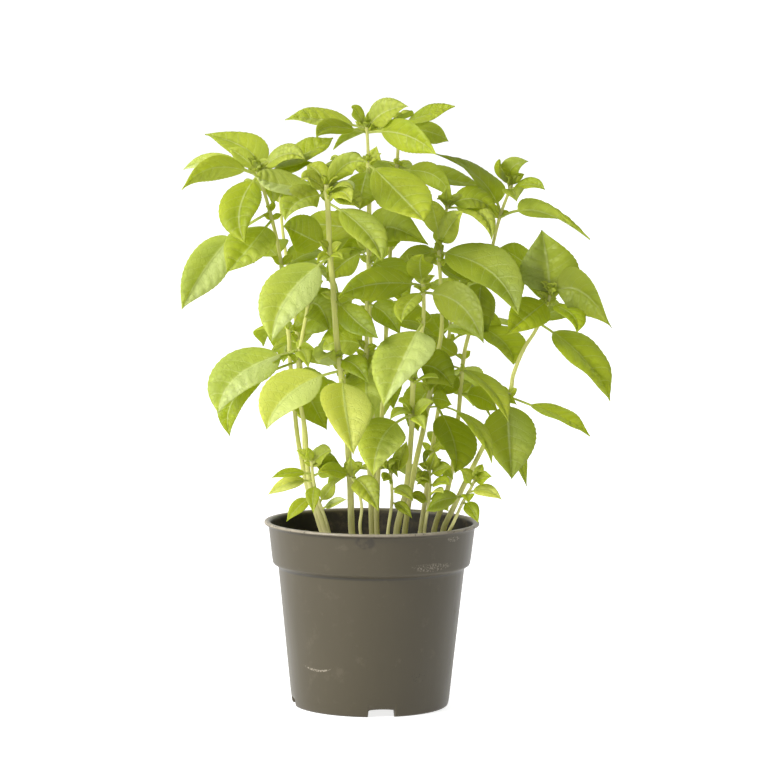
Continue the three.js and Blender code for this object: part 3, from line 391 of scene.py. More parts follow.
    "route": [[-29, 24, 108], [-36, 28, 131], [-39, 31, 150], [-41, 37, 195], [-46, 43, 240],
              [-52, 47, 280], [-54, 49, 304]],
    "radius": [2.2, 1],
    "leaves": [
      [300, [-76, 72, 312], 20, [0, 4], [-20, -20], 0.12, "light"],
      [300, [-40, 76, 308], 20, [0, 4], [-30, 20], 0.12, "mid"],
      [302, [-54, 42, 322], 12, [0, 1], [40, 0], 0.1, "young"],
      [262, [-88, 62, 262], 28, [0, 8], [-10, -30], 0.15, "mid"],
      [262, [-18, 52, 244], 27, [0, 8], [0, 30], 0.15, "dark"],
      [222, [-52, 96, 204], 30, [0, 9], [-45, -5], 0.15, "mid"],
      [216, [-64, 62, 196], 27, [0, 8], [10, -25], 0.15, "dark"],
      [172, [-52, 88, 182], 26, [0, 8], [-25, -30], 0.15, "mid"],
      [190, [-20, 60, 186], 25, [0, 7], [10, 25], 0.15, "dark"]
    ]
  },
  "stem_back_middle": {
    "foot": [2, 34],
    "route": [[2, 36, 108], [2, 43, 150], [1, 50, 195], [0, 57, 240], [0, 62, 285], [0, 65, 316]],
    "radius": [2.2, 1],
    "leaves": [
      [312, [-24, 88, 326], 20, [0, 4], [-30, -20], 0.12, "light"],
      [312, [26, 84, 322], 20, [0, 4], [-30, 20], 0.12, "mid"],
      [314, [4, 60, 334], 12, [0, 1], [40, 0], 0.1, "young"],
      [274, [4, 108, 262], 29, [0, 9], [-45, 0], 0.15, "mid"],
      [232, [-24, 92, 222], 27, [0, 9], [-35, -20], 0.15, "mid"],
      [232, [32, 88, 227], 28, [0, 9], [-30, 20], 0.15, "mid"],
      [186, [2, 104, 160], 28, [0, 9], [-45, 0], 0.15, "mid"],
      [140, [-26, 76, 126], 22, [0, 7], [-30, -20], 0.15, "mid"],
      [140, [34, 76, 128], 22, [0, 7], [-30, 20], 0.15, "mid"]
    ]
  },
  "stem_back_right": {
    "foot": [29, 25],
    "route": [[31, 27, 108], [37, 34, 150], [43, 42, 190], [48, 48, 225], [50, 50, 246]],
    "radius": [2.2, 1],
    "leaves": [
      [243, [74, 72, 252], 20, [0, 4], [-20, 20], 0.12, "light"],
      [243, [34, 78, 250], 20, [0, 4], [-30, -20], 0.12, "mid"],
      [245, [52, 42, 258], 10, [0, 1], [40, 0], 0.1, "young"],
      [214, [90, 66, 224], 28, [0, 8], [-10, 30], 0.15, "mid"],
      [214, [26, 62, 226], 24, [0, 8], [-20, -30], 0.15, "dark"],
      [196, [62, 98, 178], 29, [0, 9], [-45, 5], 0.15, "mid"],
      [192, [72, 44, 172], 26, [0, 8], [-5, 30], 0.15, "dark"],
      [150, [52, 80, 146], 25, [0, 8], [-25, 30], 0.15, "mid"]
    ]
  },
  "seedling_left": {
    "foot": [-22, -38],
    "route": [[-26, -40, 108], [-31, -42, 122], [-34, -43, 134], [-35, -43, 145]],
    "radius": [1.3, 0.9],
    "leaves": [
      [137, [-59, -50, 135], 8, [0, 2], [40, -5], 0.2, "mid"],
      [133, [-61, -44, 125], 10, [0, 3], [45, -5], 0.2, "yellow"],
      [124, [-50, -54, 109], 9, [0, 3], [55, -5], 0.3, "mid"],
      [143, [-23, -56, 151], 12, [0, 2], [55, 5], 0.15, "light"],
      [142, [-18, -38, 143], 14, [0, 1], [60, 5], 0.15, "dark"],
      [136, [-14, -50, 136], 13, [0, 3], [50, 5], 0.15, "mid"],
      [130, [-34, -60, 114], 9, [0, 3], [60, 0], 0.15, "mid"],
      [120, [-21, -44, 134], 8, [0, 0], [75, 5], 0.15, "light"],
      [116, [-14, -54, 122], 7, [0, 1], [50, 5], 0.15, "pale"],
      [142, [-22, -44, 148], 7, [-2, 5], [75, 12], 0.15, "pale"]
    ]
  },
  "seedling_front": {
    "foot": [-4, -44],
    "route": [[-6, -45, 105], [-5, -46, 118], [-8, -47, 130], [-12, -47, 137]],
    "radius": [1.3, 0.9],
    "leaves": [
      [134, [5, -64, 115], 16, [0, 5], [55, 5], 0.12, "light"],
      [130, [6, -42, 128], 11, [0, 2], [55, 5], 0.15, "dark"],
      [134, [-12, -57, 148], 7, [0, 0], [75, 0], 0.15, "young"],
      [136, [-31, -68, 139], 11, [0, 2], [57, 0], 0.15, "mid"]
    ]
  },
  "seedling_middle": {
    "foot": [9, -42],
    "route": [[11, -43, 105], [13, -44, 119], [13, -44, 131], [12, -44, 140]],
    "radius": [1.3, 0.9],
    "leaves": [
      [138, [18, -48, 146], 9, [0, 1], [65, 5], 0.15, "mid"],
      [132, [8, -52, 133], 9, [0, 2], [55, -5], 0.15, "mid"],
      [128, [26, -56, 121], 10, [0, 3], [50, 5], 0.15, "light"],
      [120, [25, -50, 111], 7, [0, 2], [55, 5], 0.15, "mid"],
      [137, [22, -44, 157], 11, [1, -1], [36, -13], 0.15, "light"],
      [136, [17, -52, 135], 5, [-2, 6], [67, -11], 0.15, "dark"]
    ]
  },
  "seedling_right": {
    "foot": [31, -38],
    "route": [[33, -40, 106], [35, -41, 119], [36, -42, 131], [35, -42, 140]],
    "radius": [1.3, 0.9],
    "leaves": [
      [138, [39, -48, 151], 8, [0, 0], [75, 5], 0.15, "mid"],
      [136, [49, -48, 141], 10, [0, 2], [55, 5], 0.15, "mid"],
      [133, [28, -52, 134], 10, [0, 2], [55, -5], 0.15, "light"],
      [130, [48, -56, 131], 10, [0, 2], [50, 5], 0.15, "mid"],
      [122, [47, -46, 115], 12, [0, 3], [60, 5], 0.15, "dark"],
      [120, [24, -50, 123], 8, [0, 2], [55, -5], 0.15, "mid"],
      [124, [44, -58, 126], 8, [0, 2], [50, 5], 0.15, "yellow"],
      [140, [38, -36, 151], 6, [-4, 2], [21, 62], 0.15, "dark"],
      [139, [28, -50, 131], 7, [1, 1], [77, 30], 0.15, "mid"],
      [140, [50, -38, 134], 8, [1, 4], [90, -32], 0.15, "mid"]
    ]
  },
  "seedling_far_right": {
    "foot": [40, -29],
    "route": [[50, -37, 108], [55, -39, 119], [60, -41, 128], [63, -41, 134]],
    "radius": [1.3, 0.9],
    "leaves": [
      [132, [73, -48, 136], 8, [0, 1], [60, 5], 0.15, "mid"],
      [126, [79, -46, 122], 9, [0, 3], [50, 5], 0.15, "yellow"],
      [124, [59, -56, 120], 8, [0, 2], [55, 0], 0.15, "mid"],
      [120, [65, -50, 108], 9, [0, 3], [60, 5], 0.2, "mid"],
      [130, [54, -54, 140], 7, [0, 1], [65, -5], 0.15, "light"],
      [124, [34, -66, 115], 12, [-4, 1], [90, 61], 0.15, "dark"]
    ]
  }
}

# Shade words: brightness, yellowness, paleness, and how high the pleats between veins stand.
# Brightness and paleness partly paint light and shade: darker words (dark, dull, grey, deep) for leaves
# that look shaded, brighter and paler ones (bright, pale) for leaves that look lit, besides each leaf's
# own tone.
SHADES = {
    "light": (1.0, 0.25, 0.15, 0.17),
    "mid": (0.93, 0.12, 0.0, 0.13),
    "dark": (0.7, 0.0, 0.0, 0.08),
    "young": (1.12, 0.3, 0.1, 0.16),
    "pale": (1.05, 0.15, 0.75, 0.15),
    "bright": (1.25, 0.3, 0.3, 0.12),
    "yellow": (1.12, 0.92, 0.3, 0.05),
    "pale_yellow": (1.22, 0.8, 0.7, 0.05),
    "deep": (0.5, 0.05, 0.15, 0.08),
    "grey": (0.6, 0.0, 0.3, 0.07),
    "reddish": (0.95, 0.4, 0.05, 0.05),
    "dull": (0.76, 0.08, 0.2, 0.07),
}


# ------------------------------------------------------------ sighting
def sight_axes():
    """Right, along and up of the line of sight: looking down by SIGHT_DOWN, rolled."""
    along = np.array([0, math.cos(SIGHT_DOWN), -math.sin(SIGHT_DOWN)])
    level_up = np.array([0, math.sin(SIGHT_DOWN), math.cos(SIGHT_DOWN)])
    level_right = np.array([1.0, 0, 0])
    c, s = math.cos(SIGHT_ROLL), math.sin(SIGHT_ROLL)
    return c * level_right + s * level_up, along, c * level_up - s * level_right


SIGHT_RIGHT, SIGHT_ALONG, SIGHT_UP = sight_axes()
SIGHT_DISTANCE = -EYE[1] / math.cos(SIGHT_DOWN)


def seen(position):
    """The real place of a sighted [across, depth, up]: on its line of sight, at its depth."""
    across, depth, up = position
    ray = SIGHT_ALONG * SIGHT_DISTANCE
    ray = ray + SIGHT_RIGHT * (across - SIGHT_MIDDLE[0]) + SIGHT_UP * (up - SIGHT_MIDDLE[1])
    return EYE + ray * (depth - EYE[1]) / ray[1]


def pot_axis():
    """Where the pot's axis stands in the frame, in metres: the middle of the pot's box."""
    low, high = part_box("pot")
    return np.array([(low[0] + high[0]) / 2, (low[1] + high[1]) / 2, 0.0])


AXIS = pot_axis()


# ------------------------------------------------------------ mesh making
def mesh_of(name, points, faces):
    """Mesh of points (mm from the pot's axis) and rows of four corners; a last corner that
    repeats the third makes a triangle."""
    kept = np.ones(faces.shape, bool)
    kept[:, 3] = faces[:, 3] != faces[:, 2]
    sizes = kept.sum(axis=1)
    mesh = bpy.data.meshes.new(name)
    mesh.vertices.add(len(points))
    mesh.vertices.foreach_set("co", (points * MM + AXIS).astype(np.float32).ravel())
    mesh.loops.add(int(sizes.sum()))
    mesh.loops.foreach_set("vertex_index", faces[kept].astype(np.int32))
    mesh.polygons.add(len(faces))
    mesh.polygons.foreach_set("loop_start", (np.cumsum(sizes) - sizes).astype(np.int32))
    mesh.update(calc_edges=True)
    return mesh


def add_object(name, data):
    """A new object that the scene shows."""
    thing = bpy.data.objects.new(name, data)
    bpy.context.scene.collection.objects.link(thing)
    return thing


def piece(name, points, faces, finish, node, smooth=True):
    """One object with its finish; it rides on the root and replaces its node."""
    mesh = mesh_of(name, points, faces)
    mesh.polygons.foreach_set("use_smooth", np.full(len(faces), smooth))
    mesh.materials.append(finish)
    thing = add_object(name, mesh)
    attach(thing, "root")
    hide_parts(node)
    return thing


def tube_faces(rows, columns):
    """Faces of a tube of closed rings; the two points after its grid close its ends."""
    ring = np.arange(columns)
    after = np.roll(ring, -1)
    row = np.arange(rows - 1)[:, None] * columns
    quads = np.stack([row + ring, row + after, row + columns + after, row + columns + ring])
    last = (rows - 1) * columns
    start, end = (np.full(columns, rows * columns + i) for i in (0, 1))
    caps = np.concatenate([np.stack([after, ring, start, start], axis=1),
                           np.stack([last + ring, last + after, end, end], axis=1)])
    return np.concatenate([quads.reshape(4, -1).T, caps])


def turned(radius, turns, height):
    """Points at a radius and a height, turned about the pot's axis from its front."""
    across, depth = radius * np.sin(turns), -radius * np.cos(turns)
    return np.stack(np.broadcast_arrays(across, depth, height), axis=-1)


def unit(vectors):
    return vectors / np.linalg.norm(vectors, axis=-1, keepdims=True)


def put_attribute(mesh, name, kind, key, values):
    """Gives each point of the mesh its own value."""
    layer = mesh.attributes.new(name, kind, "POINT")
    layer.data.foreach_set(key, values.astype(np.float32).ravel())


def spline(points, places):
    """Points of the uniform Catmull-Rom curve at places from 0 to 1, with its ends extended."""
    knots = np.vstack([2 * points[0] - points[1], points, 2 * points[-1] - points[-2]])
    scaled = np.clip(places, 0, 1) * (len(points) - 1)
    start = np.minimum(scaled.astype(int), len(points) - 2)
    t = (scaled - start)[:, None]
    a, b, c, d = (knots[start + i] for i in range(4))
    return 0.5 * (2 * b + (c - a) * t + (2 * a - 5 * b + 4 * c - d) * t**2
                  + (3 * b - a - 3 * c + d) * t**3)


# ------------------------------------------------------------ shader expressions
def maths(operation, reflected=False):
    """An operator that adds a Math node; in its reflected form the other value comes first."""
    def apply(self, *others):
        values = (*others, self) if reflected else (self, *others)
        return self.finish.node("ShaderNodeMath", {"operation": operation}, dict(enumerate(values)))
    return apply


class Value:
    """A socket that takes part in Python expressions; each operator adds a Math node."""

    def __init__(self, finish, socket):
        self.finish, self.socket = finish, socket

    __add__ = __radd__ = maths("ADD")
    __sub__ = maths("SUBTRACT")
    __rsub__ = maths("SUBTRACT", reflected=True)
    __mul__ = __rmul__ = maths("MULTIPLY")
    __truediv__ = maths("DIVIDE")
    __rtruediv__ = maths("DIVIDE", reflected=True)
    __pow__ = maths("POWER")
    __abs__ = maths("ABSOLUTE")
    fraction = maths("FRACT")
    at_most = maths("MINIMUM")

    def step(self, low, high):
        """0 below low, 1 above high, smooth between; high may be the lower one."""
        sockets = {0: self, 1: low, 2: high} if low < high else {0: self, 1: high, 2: low, 3: 1, 4: 0}
        return self.finish.node("ShaderNodeMapRange", {"interpolation_type": "SMOOTHSTEP"}, sockets)


class Finish:
    """One material, or the surroundings, and the nodes that make it."""

    def __init__(self, name, kind="materials", coordinate="Object"):
        self.owner = getattr(bpy.data, kind).new(name)
        self.owner.use_nodes = True
        self.tree = self.owner.node_tree
        self.tree.nodes.clear()
        self.place = self.node("ShaderNodeTexCoord", output=coordinate)

    def node(self, kind, settings=None, sockets=None, output=0):
        """Any node: its settings first, then what each socket holds or is linked to."""
        made = self.tree.nodes.new(kind)
        for key, setting in (settings or {}).items():
            setattr(made, key, setting)
        for key, value in (sockets or {}).items():
            if isinstance(value, Value):
                self.tree.links.new(value.socket, made.inputs[key])
            else:
                made.inputs[key].default_value = value
        return None if output is None else Value(self, made.outputs[output])

    def mix(self, amount, first, second, blend="MIX"):
        first, second = (c if isinstance(c, Value) else (*c, 1) for c in (first, second))
        settings = {"data_type": "RGBA", "blend_type": blend}
        return self.node("ShaderNodeMix", settings, {0: amount, 6: first, 7: second}, output=2)

    def scaled(self, x, y, z):
        """The place stretched, for a pattern that is longer one way than another."""
        return self.node("ShaderNodeMapping", None, {0: self.place, 3: (x, y, z)})

    def noise(self, scale, detail=2.0, roughness=0.5, place=None):
        sockets = {"Vector": place or self.place, "Scale": scale, "Detail": detail}
        sockets["Roughness"] = roughness
        return self.node("ShaderNodeTexNoise", None, sockets)

    def cells(self, scale, feature="F1"):
        sockets = {"Vector": self.place, "Scale": scale}
        return self.node("ShaderNodeTexVoronoi", {"feature": feature}, sockets)

    def bump(self, height, strength, distance):
        sockets = {"Height": height, "Strength": strength, "Distance": distance}
        return self.node("ShaderNodeBump", None, sockets)

    def attribute(self, name, output="Fac"):
        return self.node("ShaderNodeAttribute", {"attribute_name": name}, output=output)

    def surface(self, **sockets):
        names = {name.replace("_", " "): value for name, value in sockets.items()}
        return self.node("ShaderNodeBsdfPrincipled", None, names)

    def parts(self, kind, source):
        """The three numbers of a vector or a colour."""
        split = self.node(kind, None, {0: source}).socket.node
        return (Value(self, output) for output in split.outputs[:3])

    def through(self, share, front, colour):
        """The front shader with a share of light let through in one colour."""
        glow = self.node("ShaderNodeBsdfTranslucent", None, {"Color": (*colour, 1)})
        return self.node("ShaderNodeMixShader", None, {0: share, 1: front, 2: glow})

    def done(self, shader, output="ShaderNodeOutputMaterial"):
        self.node(output, None, {"Surface": shader}, output=None)
        return self.owner


# ------------------------------------------------------------ finishes
def leaf_finish():
    """Basil leaf: green to yellow by its shade, painted sheen and shade, pale sunken veins, soft cells,
    light through it.

    The blade map runs from base to tip and from edge to edge. The side veins lie where
    VEIN_PAIRS (along - sweep) / (1 - sweep) is a whole number and a half.
    """
    f = Finish("basil_leaf")
    tone, yellow, pale = f.parts("ShaderNodeSeparateColor", f.attribute("shade", "Color"))
    under = f.attribute("under")
    map_place = f.node("ShaderNodeUVMap", {"uv_map": "blade"})
    along, across, _ = f.parts("ShaderNodeSeparateXYZ", map_place)
    side = abs(across * 2 - 1)
    sweep = VEIN_SWEEP * side ** VEIN_BEND
    vein_phase = (VEIN_PAIRS * (along - sweep) / (1 - sweep)).fraction()
    lateral = abs(vein_phase - 0.5).step(0.055, 0.012) * side.step(0.95, 0.6)
    midrib = side.step(0.06, 0.015)
    net = f.cells(300, "DISTANCE_TO_EDGE").step(0.08, 0.0)
    veins = (lateral * 0.5 + midrib).at_most(1)
    # Painted sheen: the pale shade word whitens one half of the blade more than the rest; on hanging
    # leaves that is the half turned to the light.
    paleness_and_painted_sheen = pale * (0.3 + 0.7 * across.step(0.54, 0.46))
    blotch = f.noise(46, 3)
    green = f.mix(blotch.step(0.3, 0.75), (0.232, 0.3, 0.0), (0.412, 0.455, 0.005))
    colour = f.mix(yellow, green, (0.66, 0.63, 0.1))
    colour = f.mix(paleness_and_painted_sheen, colour, (0.56, 0.6, 0.3))
    colour = f.mix(net * 0.1, colour, (0.42, 0.48, 0.08))
    colour = f.mix(veins * 0.8, colour, (0.68, 0.73, 0.3))
    colour = f.mix(side.step(0.93, 1.0) * 0.3, colour, (0.5, 0.52, 0.1))
    colour = f.mix(along.step(0.05, 0.0) * 0.75, colour, (0.6, 0.62, 0.2))
    colour = f.mix(under * 0.35, colour, (0.38, 0.46, 0.13))
    # Brightness from the shade word: partly painted light and shade over the whole leaf.
    bright = f.node("ShaderNodeCombineXYZ", None, {0: tone, 1: tone, 2: tone})
    colour = f.mix(1.0, colour, bright, "MULTIPLY")
    speckle = f.noise(900, 2)
    rough = 0.46 + 0.14 * blotch + 0.1 * under
    relief = f.bump(veins * -0.3 + net * -0.3 + speckle * 0.25, 0.8, 0.001)
    front = f.surface(Base_Color=colour, Roughness=rough, Normal=relief, Specular_IOR_Level=0.6)
    return f.done(f.through(0.48, front, (0.72, 0.82, 0.02)))


def stem_finish():
    """Pale green stem, beige and woody at its foot, with fine darker streaks along it."""
    f = Finish("basil_stem")
    _, _, height = f.parts("ShaderNodeSeparateXYZ", f.place)
    streak = f.noise(1, 3, place=f.scaled(900, 900, 60))
    blotch = f.noise(60, 3)
    green = f.mix(blotch, (0.52, 0.55, 0.13), (0.68, 0.66, 0.25))
    colour = f.mix(height.step(0.15, 0.1) * 0.8, green, (0.62, 0.56, 0.34))
    colour = f.mix(streak.step(0.5, 0.75) * 0.4, colour, (0.3, 0.3, 0.1))
    relief = f.bump(streak + f.noise(700) * 0.5, 0.3, 0.0004)
    front = f.surface(Base_Color=colour, Roughness=0.38 + 0.2 * streak, Normal=relief)
    return f.done(f.through(0.35, front, (0.85, 0.85, 0.35)))


def mark(f, sighted, half_size, bow):
    """1 inside a mark: an ellipse (mm) about a sighted place, bowed up at its ends."""
    x, _, height = f.parts("ShaderNodeSeparateXYZ", f.place)
    middle = seen(sighted) * MM + AXIS
    across = (x - middle[0]) / (half_size[0] * MM)
    up = (height - middle[2] - bow * MM * across * across) / (half_size[1] * MM)
    return (across * across + up * up).step(1.0, 0.4)


def pot_finish():
    """Satin taupe plastic: a pale band round the lip, dust and mould streaks, painted peat-patterned
    shade inside, and on its front a crescent scratch, scuffs on the band, a smudge under the lip."""
    f = Finish("pot_plastic")
    _, y, height = f.parts("ShaderNodeSeparateXYZ", f.place)
    inside = f.attribute("inside")
    facing = (y * -1).step(0.02 - AXIS[1], 0.03 - AXIS[1])
    cloud, grain, speck = f.noise(22, 4), f.noise(1500, 2), f.noise(1100, 3)
    streak = f.noise(1, 3, place=f.scaled(150, 150, 14))
    colour = f.mix(cloud, (0.046, 0.037, 0.018), (0.058, 0.047, 0.0245))
    dust = f.noise(95, 6, 0.7).step(0.56, 0.72)
    colour = f.mix(dust * 0.08, colour, (0.26, 0.22, 0.16))
    scratch = mark(f, *SCRATCH) * speck.step(0.44, 0.56)
    scuffs = mark(f, *BAND_SCUFF) * speck.step(0.5, 0.6)
    scuffs = scuffs + mark(f, *LIP_SCUFF) * speck.step(0.5, 0.6)
    worn = (scratch + scuffs * 0.6).at_most(1) * facing
    colour = f.mix(worn * 0.45, colour, (0.42, 0.37, 0.29))
    smudge = mark(f, *SMUDGE) * f.noise(260, 4).step(0.42, 0.6)
    specks = mark(f, *DARK_SPECKS) * f.noise(700, 2).step(0.6, 0.64)
    dirt = (smudge + specks).at_most(1) * facing
    colour = f.mix(dirt * 0.6, colour, (0.015, 0.012, 0.008))
    # Painted shadow: thin dark lines under the band's shoulder step and under the lip.
    corner = abs(height - SHOULDER * MM).step(0.0013, 0.0003) * 0.6
    corner = corner + abs(height - LIP_LINE).step(0.0007, 0.0) * 0.4
    colour = f.mix(corner * (1 - inside), colour, (0.012, 0.01, 0.007))
    # A paler, mottled band round the rim's top edge, fainter inside.
    rim = height.step(*RIM_PALE_BAND) * (0.3 + 0.6 * f.noise(160, 4)) * (1 - inside * 0.5)
    colour = f.mix(rim, colour, (0.4, 0.35, 0.27))
    chips = height.step(*RIM_CHIPS) * f.noise(420, 2).step(0.6, 0.66) * (1 - inside)
    colour = f.mix(chips * 0.7, colour, (0.02, 0.015, 0.01))
    # Painted shade on the inner wall, in a mottled peat-coloured pattern.
    inner_shade_and_peat = inside * height.step(*INNER_SHADE_AND_PEAT)
    shaded_peat_colour = f.mix(f.noise(150, 5, 0.7).step(0.45, 0.7), (0.02, 0.016, 0.01), (0.06, 0.045, 0.026))
    colour = f.mix(inner_shade_and_peat, colour, shaded_peat_colour)
    rough = 0.33 + 0.14 * streak + 0.1 * dust + 0.3 * inner_shade_and_peat
    relief = f.bump(grain * 0.4 + streak * 0.6 + worn * 0.5, 0.1, 0.0006)
    front = f.surface(Base_Color=colour, Roughness=rough, Normal=relief, Specular_IOR_Level=0.4)
    return f.done(front)


def soil_finish():
    """Dark peat: fibres, crumbs and a few pale grains."""
    f = Finish("growing_mix")
    lump = f.noise(140, 6, 0.7)
    fibre = f.noise(1, 4, place=f.scaled(900, 260, 400))
    colour = f.mix(lump, (0.012, 0.008, 0.004), (0.06, 0.038, 0.02))
    colour = f.mix(fibre.step(0.6, 0.75) * 0.5, colour, (0.13, 0.085, 0.045))
    pale = f.cells(420).step(0.16, 0.1) * f.noise(160).step(0.58, 0.64)
    colour = f.mix(pale, colour, (0.42, 0.38, 0.3))
    relief = f.bump(lump + fibre * 0.4, 0.8, 0.002)
    return f.done(f.surface(Base_Color=colour, Roughness=0.9 + 0.1 * fibre, Normal=relief))


# ------------------------------------------------------------ the pot
def notch_lift(turn):
    """How high the foot's lower edge stands at each turn: in a notch, the lower of a bowed
    top, corner + bow (1 - share**2), and of the sides that rise from its ends."""
    between = TAU / NOTCHES
    off = (turn - NOTCH_TURN + between / 2) % between - between / 2
    share = np.abs(off) / NOTCH_HALF_TURN
    arch = NOTCH_HEIGHT - NOTCH_CORNER + NOTCH_BOW * (1 - share**2)
    side = (1 - share) * NOTCH_HALF_TURN * BODY_FOOT_RADIUS * NOTCH_SIDE
    return np.where(share < 1, np.minimum(arch, side), 0)


def pot_turns():
    """Turns round the pot, with extra columns at the sides of each notch and drain slot."""
    even = np.linspace(0, TAU, POT_COLUMNS, endpoint=False)
    steps = np.array([-1.0, -0.985, -0.97, -0.95, 0.95, 0.97, 0.985, 1.0]) * NOTCH_HALF_TURN
    slot = np.array([-DRAIN_HALF_TURN, DRAIN_HALF_TURN])
    extra = []
    for quarter in range(NOTCHES):
        middle = NOTCH_TURN + quarter * TAU / NOTCHES
        extra += [middle + steps, middle + TAU / NOTCHES / 2 + slot]
    turns = np.sort(np.concatenate([even, *extra]) % TAU)
    return turns[np.diff(turns, prepend=-1) > 1e-4]


def pot_profile():
    """The wall's closed outline, from the underside's middle round the lip to the floor inside."""
    return np.array(foot_outline() + body_outline() + lip_outline() + inside_outline())


def foot_outline():
    """Underside of the base, then round the foot ring."""
    ring, foot = RING_RADIUS, BODY_FOOT_RADIUS
    base = [0.02, DRAIN_INNER * 0.5, DRAIN_INNER, DRAIN_OUTER, ring - 2, ring - 0.5]
    under = [(radius, BASE_UNDERSIDE) for radius in base]
    inner = [(ring, BASE_UNDERSIDE - 0.4), (ring, 2.5), (ring + 0.1, 0.3), (ring + 0.5, 0)]
    outer = [(foot - 2, 0), (foot - 1, 0.25), (foot - 0.35, 0.8), (foot, 1.8)]
    return under + inner + outer + [(foot + BODY_SLOPE * 5, 5)]


def body_outline():
    """Up the tapered body, out over the rounded shoulder and up the band."""
    top, outer = LIP_FOOT, BAND_FOOT_RADIUS
    body = [(BODY_FOOT_RADIUS + BODY_SLOPE * h, h) for h in np.linspace(9, SHOULDER - 1.5, 14)]
    step = [(BODY_TOP_RADIUS - 0.02, SHOULDER - 0.5), (BODY_TOP_RADIUS + 0.4, SHOULDER + 0.05)]
    step += [(outer - 2.4, SHOULDER + 0.9), (outer - 1.3, SHOULDER + 1.5)]
    step += [(outer - 0.5, BAND_FOOT - 0.5), (outer - 0.1, BAND_FOOT + 0.3)]
    step += [(outer + 0.05, BAND_FOOT + 1.4)]
    rise = [(outer + BAND_TAPER * share, BAND_FOOT + share * (top - BAND_FOOT))
            for share in np.linspace(0.15, 0.93, 7)]
    return body + step + rise


def lip_outline():
    """Out under the lip, round its edge and in over its top."""
    band, top, lip = BAND_TOP_RADIUS, LIP_FOOT, LIP_RADIUS
    under = [(band - 0.05, top - 0.7), (band + 0.25, top - 0.15), (band + 0.8, top + 0.15)]
    edge = [(lip - 0.7, top + 0.35), (lip - 0.2, top + 0.7), (lip, top + 1.25)]
    edge += [(lip - 0.12, top + 1.8), (lip - 0.5, POT_HEIGHT - 0.15), (lip - 1.1, POT_HEIGHT)]
    over = [(band - 0.1, POT_HEIGHT - 0.12), (band - 0.8, POT_HEIGHT - 0.5), (band - 1.2, top + 0.6)]
    return under + edge + over


def inside_outline():
    """Down the inside, 1.4 to 2.3 mm in from the outside, and in over the floor."""
    band, outer = BAND_TOP_RADIUS - WALL, BAND_FOOT_RADIUS - WALL
    foot = BODY_FOOT_RADIUS - WALL
    wall = [(band, LIP_FOOT - 1), (outer + 1, (LIP_FOOT + BAND_FOOT) / 2)]
    wall += [(outer + 0.1, BAND_FOOT + 2), (outer - 0.4, BAND_FOOT + 1.2)]
    wall += [(BODY_TOP_RADIUS - WALL + 0.6, SHOULDER + 1), (BODY_TOP_RADIUS - WALL, SHOULDER)]
    wall += [(BODY_FOOT_RADIUS + BODY_SLOPE * 45 - WALL, 45), (foot, FLOOR + 1)]
    base = [foot - 1, DRAIN_OUTER, DRAIN_INNER, DRAIN_INNER * 0.5, 0.02]
    return wall + [(radius, FLOOR) for radius in base]


def make_pot(finish):
    """The outline turned about the axis; under NOTCH_REACH its heights are pressed up by
    lift (1 - height / NOTCH_REACH) over the notches, but not those of the base."""
    turns, profile = pot_turns(), pot_profile()
    radius, height = profile[:, 0][:, None], profile[:, 1][:, None]
    lift = notch_lift(turns)[None, :]
    pressed = height + lift * np.clip(1 - height / NOTCH_REACH, 0, 1)
    near_base = (radius <= RING_RADIUS) & (height >= BASE_UNDERSIDE - 0.5)
    height = np.where((height < NOTCH_REACH) & ~near_base, pressed, height)
    points = turned(radius, turns, height)
    rows, columns = len(profile), len(turns)
    middles = [[0, 0, BASE_UNDERSIDE], [0, 0, FLOOR]]
    points = np.vstack([points.reshape(-1, 3), middles])
    faces = cut_drains(tube_faces(rows, columns), profile, turns)
    pot = piece("nursery_pot", points, faces, finish, "pot")
    lip_row = profile[:, 1].argmax()
    inside = np.append(np.repeat(np.arange(rows) > lip_row, columns), [False, True])
    put_attribute(pot.data, "inside", "FLOAT", "value", inside)


def cut_drains(faces, profile, turns):
    """Leaves out the faces of both base sheets inside the drain slots and walls each slot."""
    columns, between = len(turns), TAU / NOTCHES
    middle = (turns + np.append(turns[1:], turns[0] + TAU)) / 2
    off = (middle - NOTCH_TURN) % between - between / 2
    inside = np.abs(off) < DRAIN_HALF_TURN
    level = np.isclose(np.diff(profile[:, 1]), 0)
    at_slot = np.isclose(np.minimum(profile[:-1, 0], profile[1:, 0]), DRAIN_INNER)
    bottom, top = np.flatnonzero(level & at_slot)
    keep = np.ones(len(faces), bool)
    column = np.flatnonzero(inside)
    keep[bottom * columns + column] = keep[top * columns + column] = False
    after = (column + 1) % columns
    inner, outer, top_outer, top_inner = (r * columns for r in (bottom, bottom + 1, top, top + 1))
    first, last = column[~inside[column - 1]], after[~inside[after]]
    walls = [
        np.stack([inner + column, inner + after, top_inner + after, top_inner + column], axis=1),
        np.stack([outer + after, outer + column, top_outer + column, top_outer + after], axis=1),
        np.stack([outer + first, inner + first, top_inner + first, top_outer + first], axis=1),
        np.stack([inner + last, outer + last, top_outer + last, top_inner + last], axis=1),
    ]
    return np.concatenate([faces[keep], *walls])


# ------------------------------------------------------------ the growing mix
def clods(x, y):
    """Height of the mix's surface: the part's three crossing waves, then products of shorter
    waves as finer lumps."""
    broad = np.sin(0.31 * x + 0.17 * y) + np.sin(0.23 * y - 0.29 * x + 1) + np.sin(0.41 * y + 2)
    fine = np.sin(1.1 * x + 0.7 * y) * np.sin(0.9 * y - 1.3 * x)
    fine = fine + 0.6 * np.sin(2.3 * x) * np.sin(2.1 * y)
    return SOIL_CLOD * broad / 3 + FINE_CLOD * fine


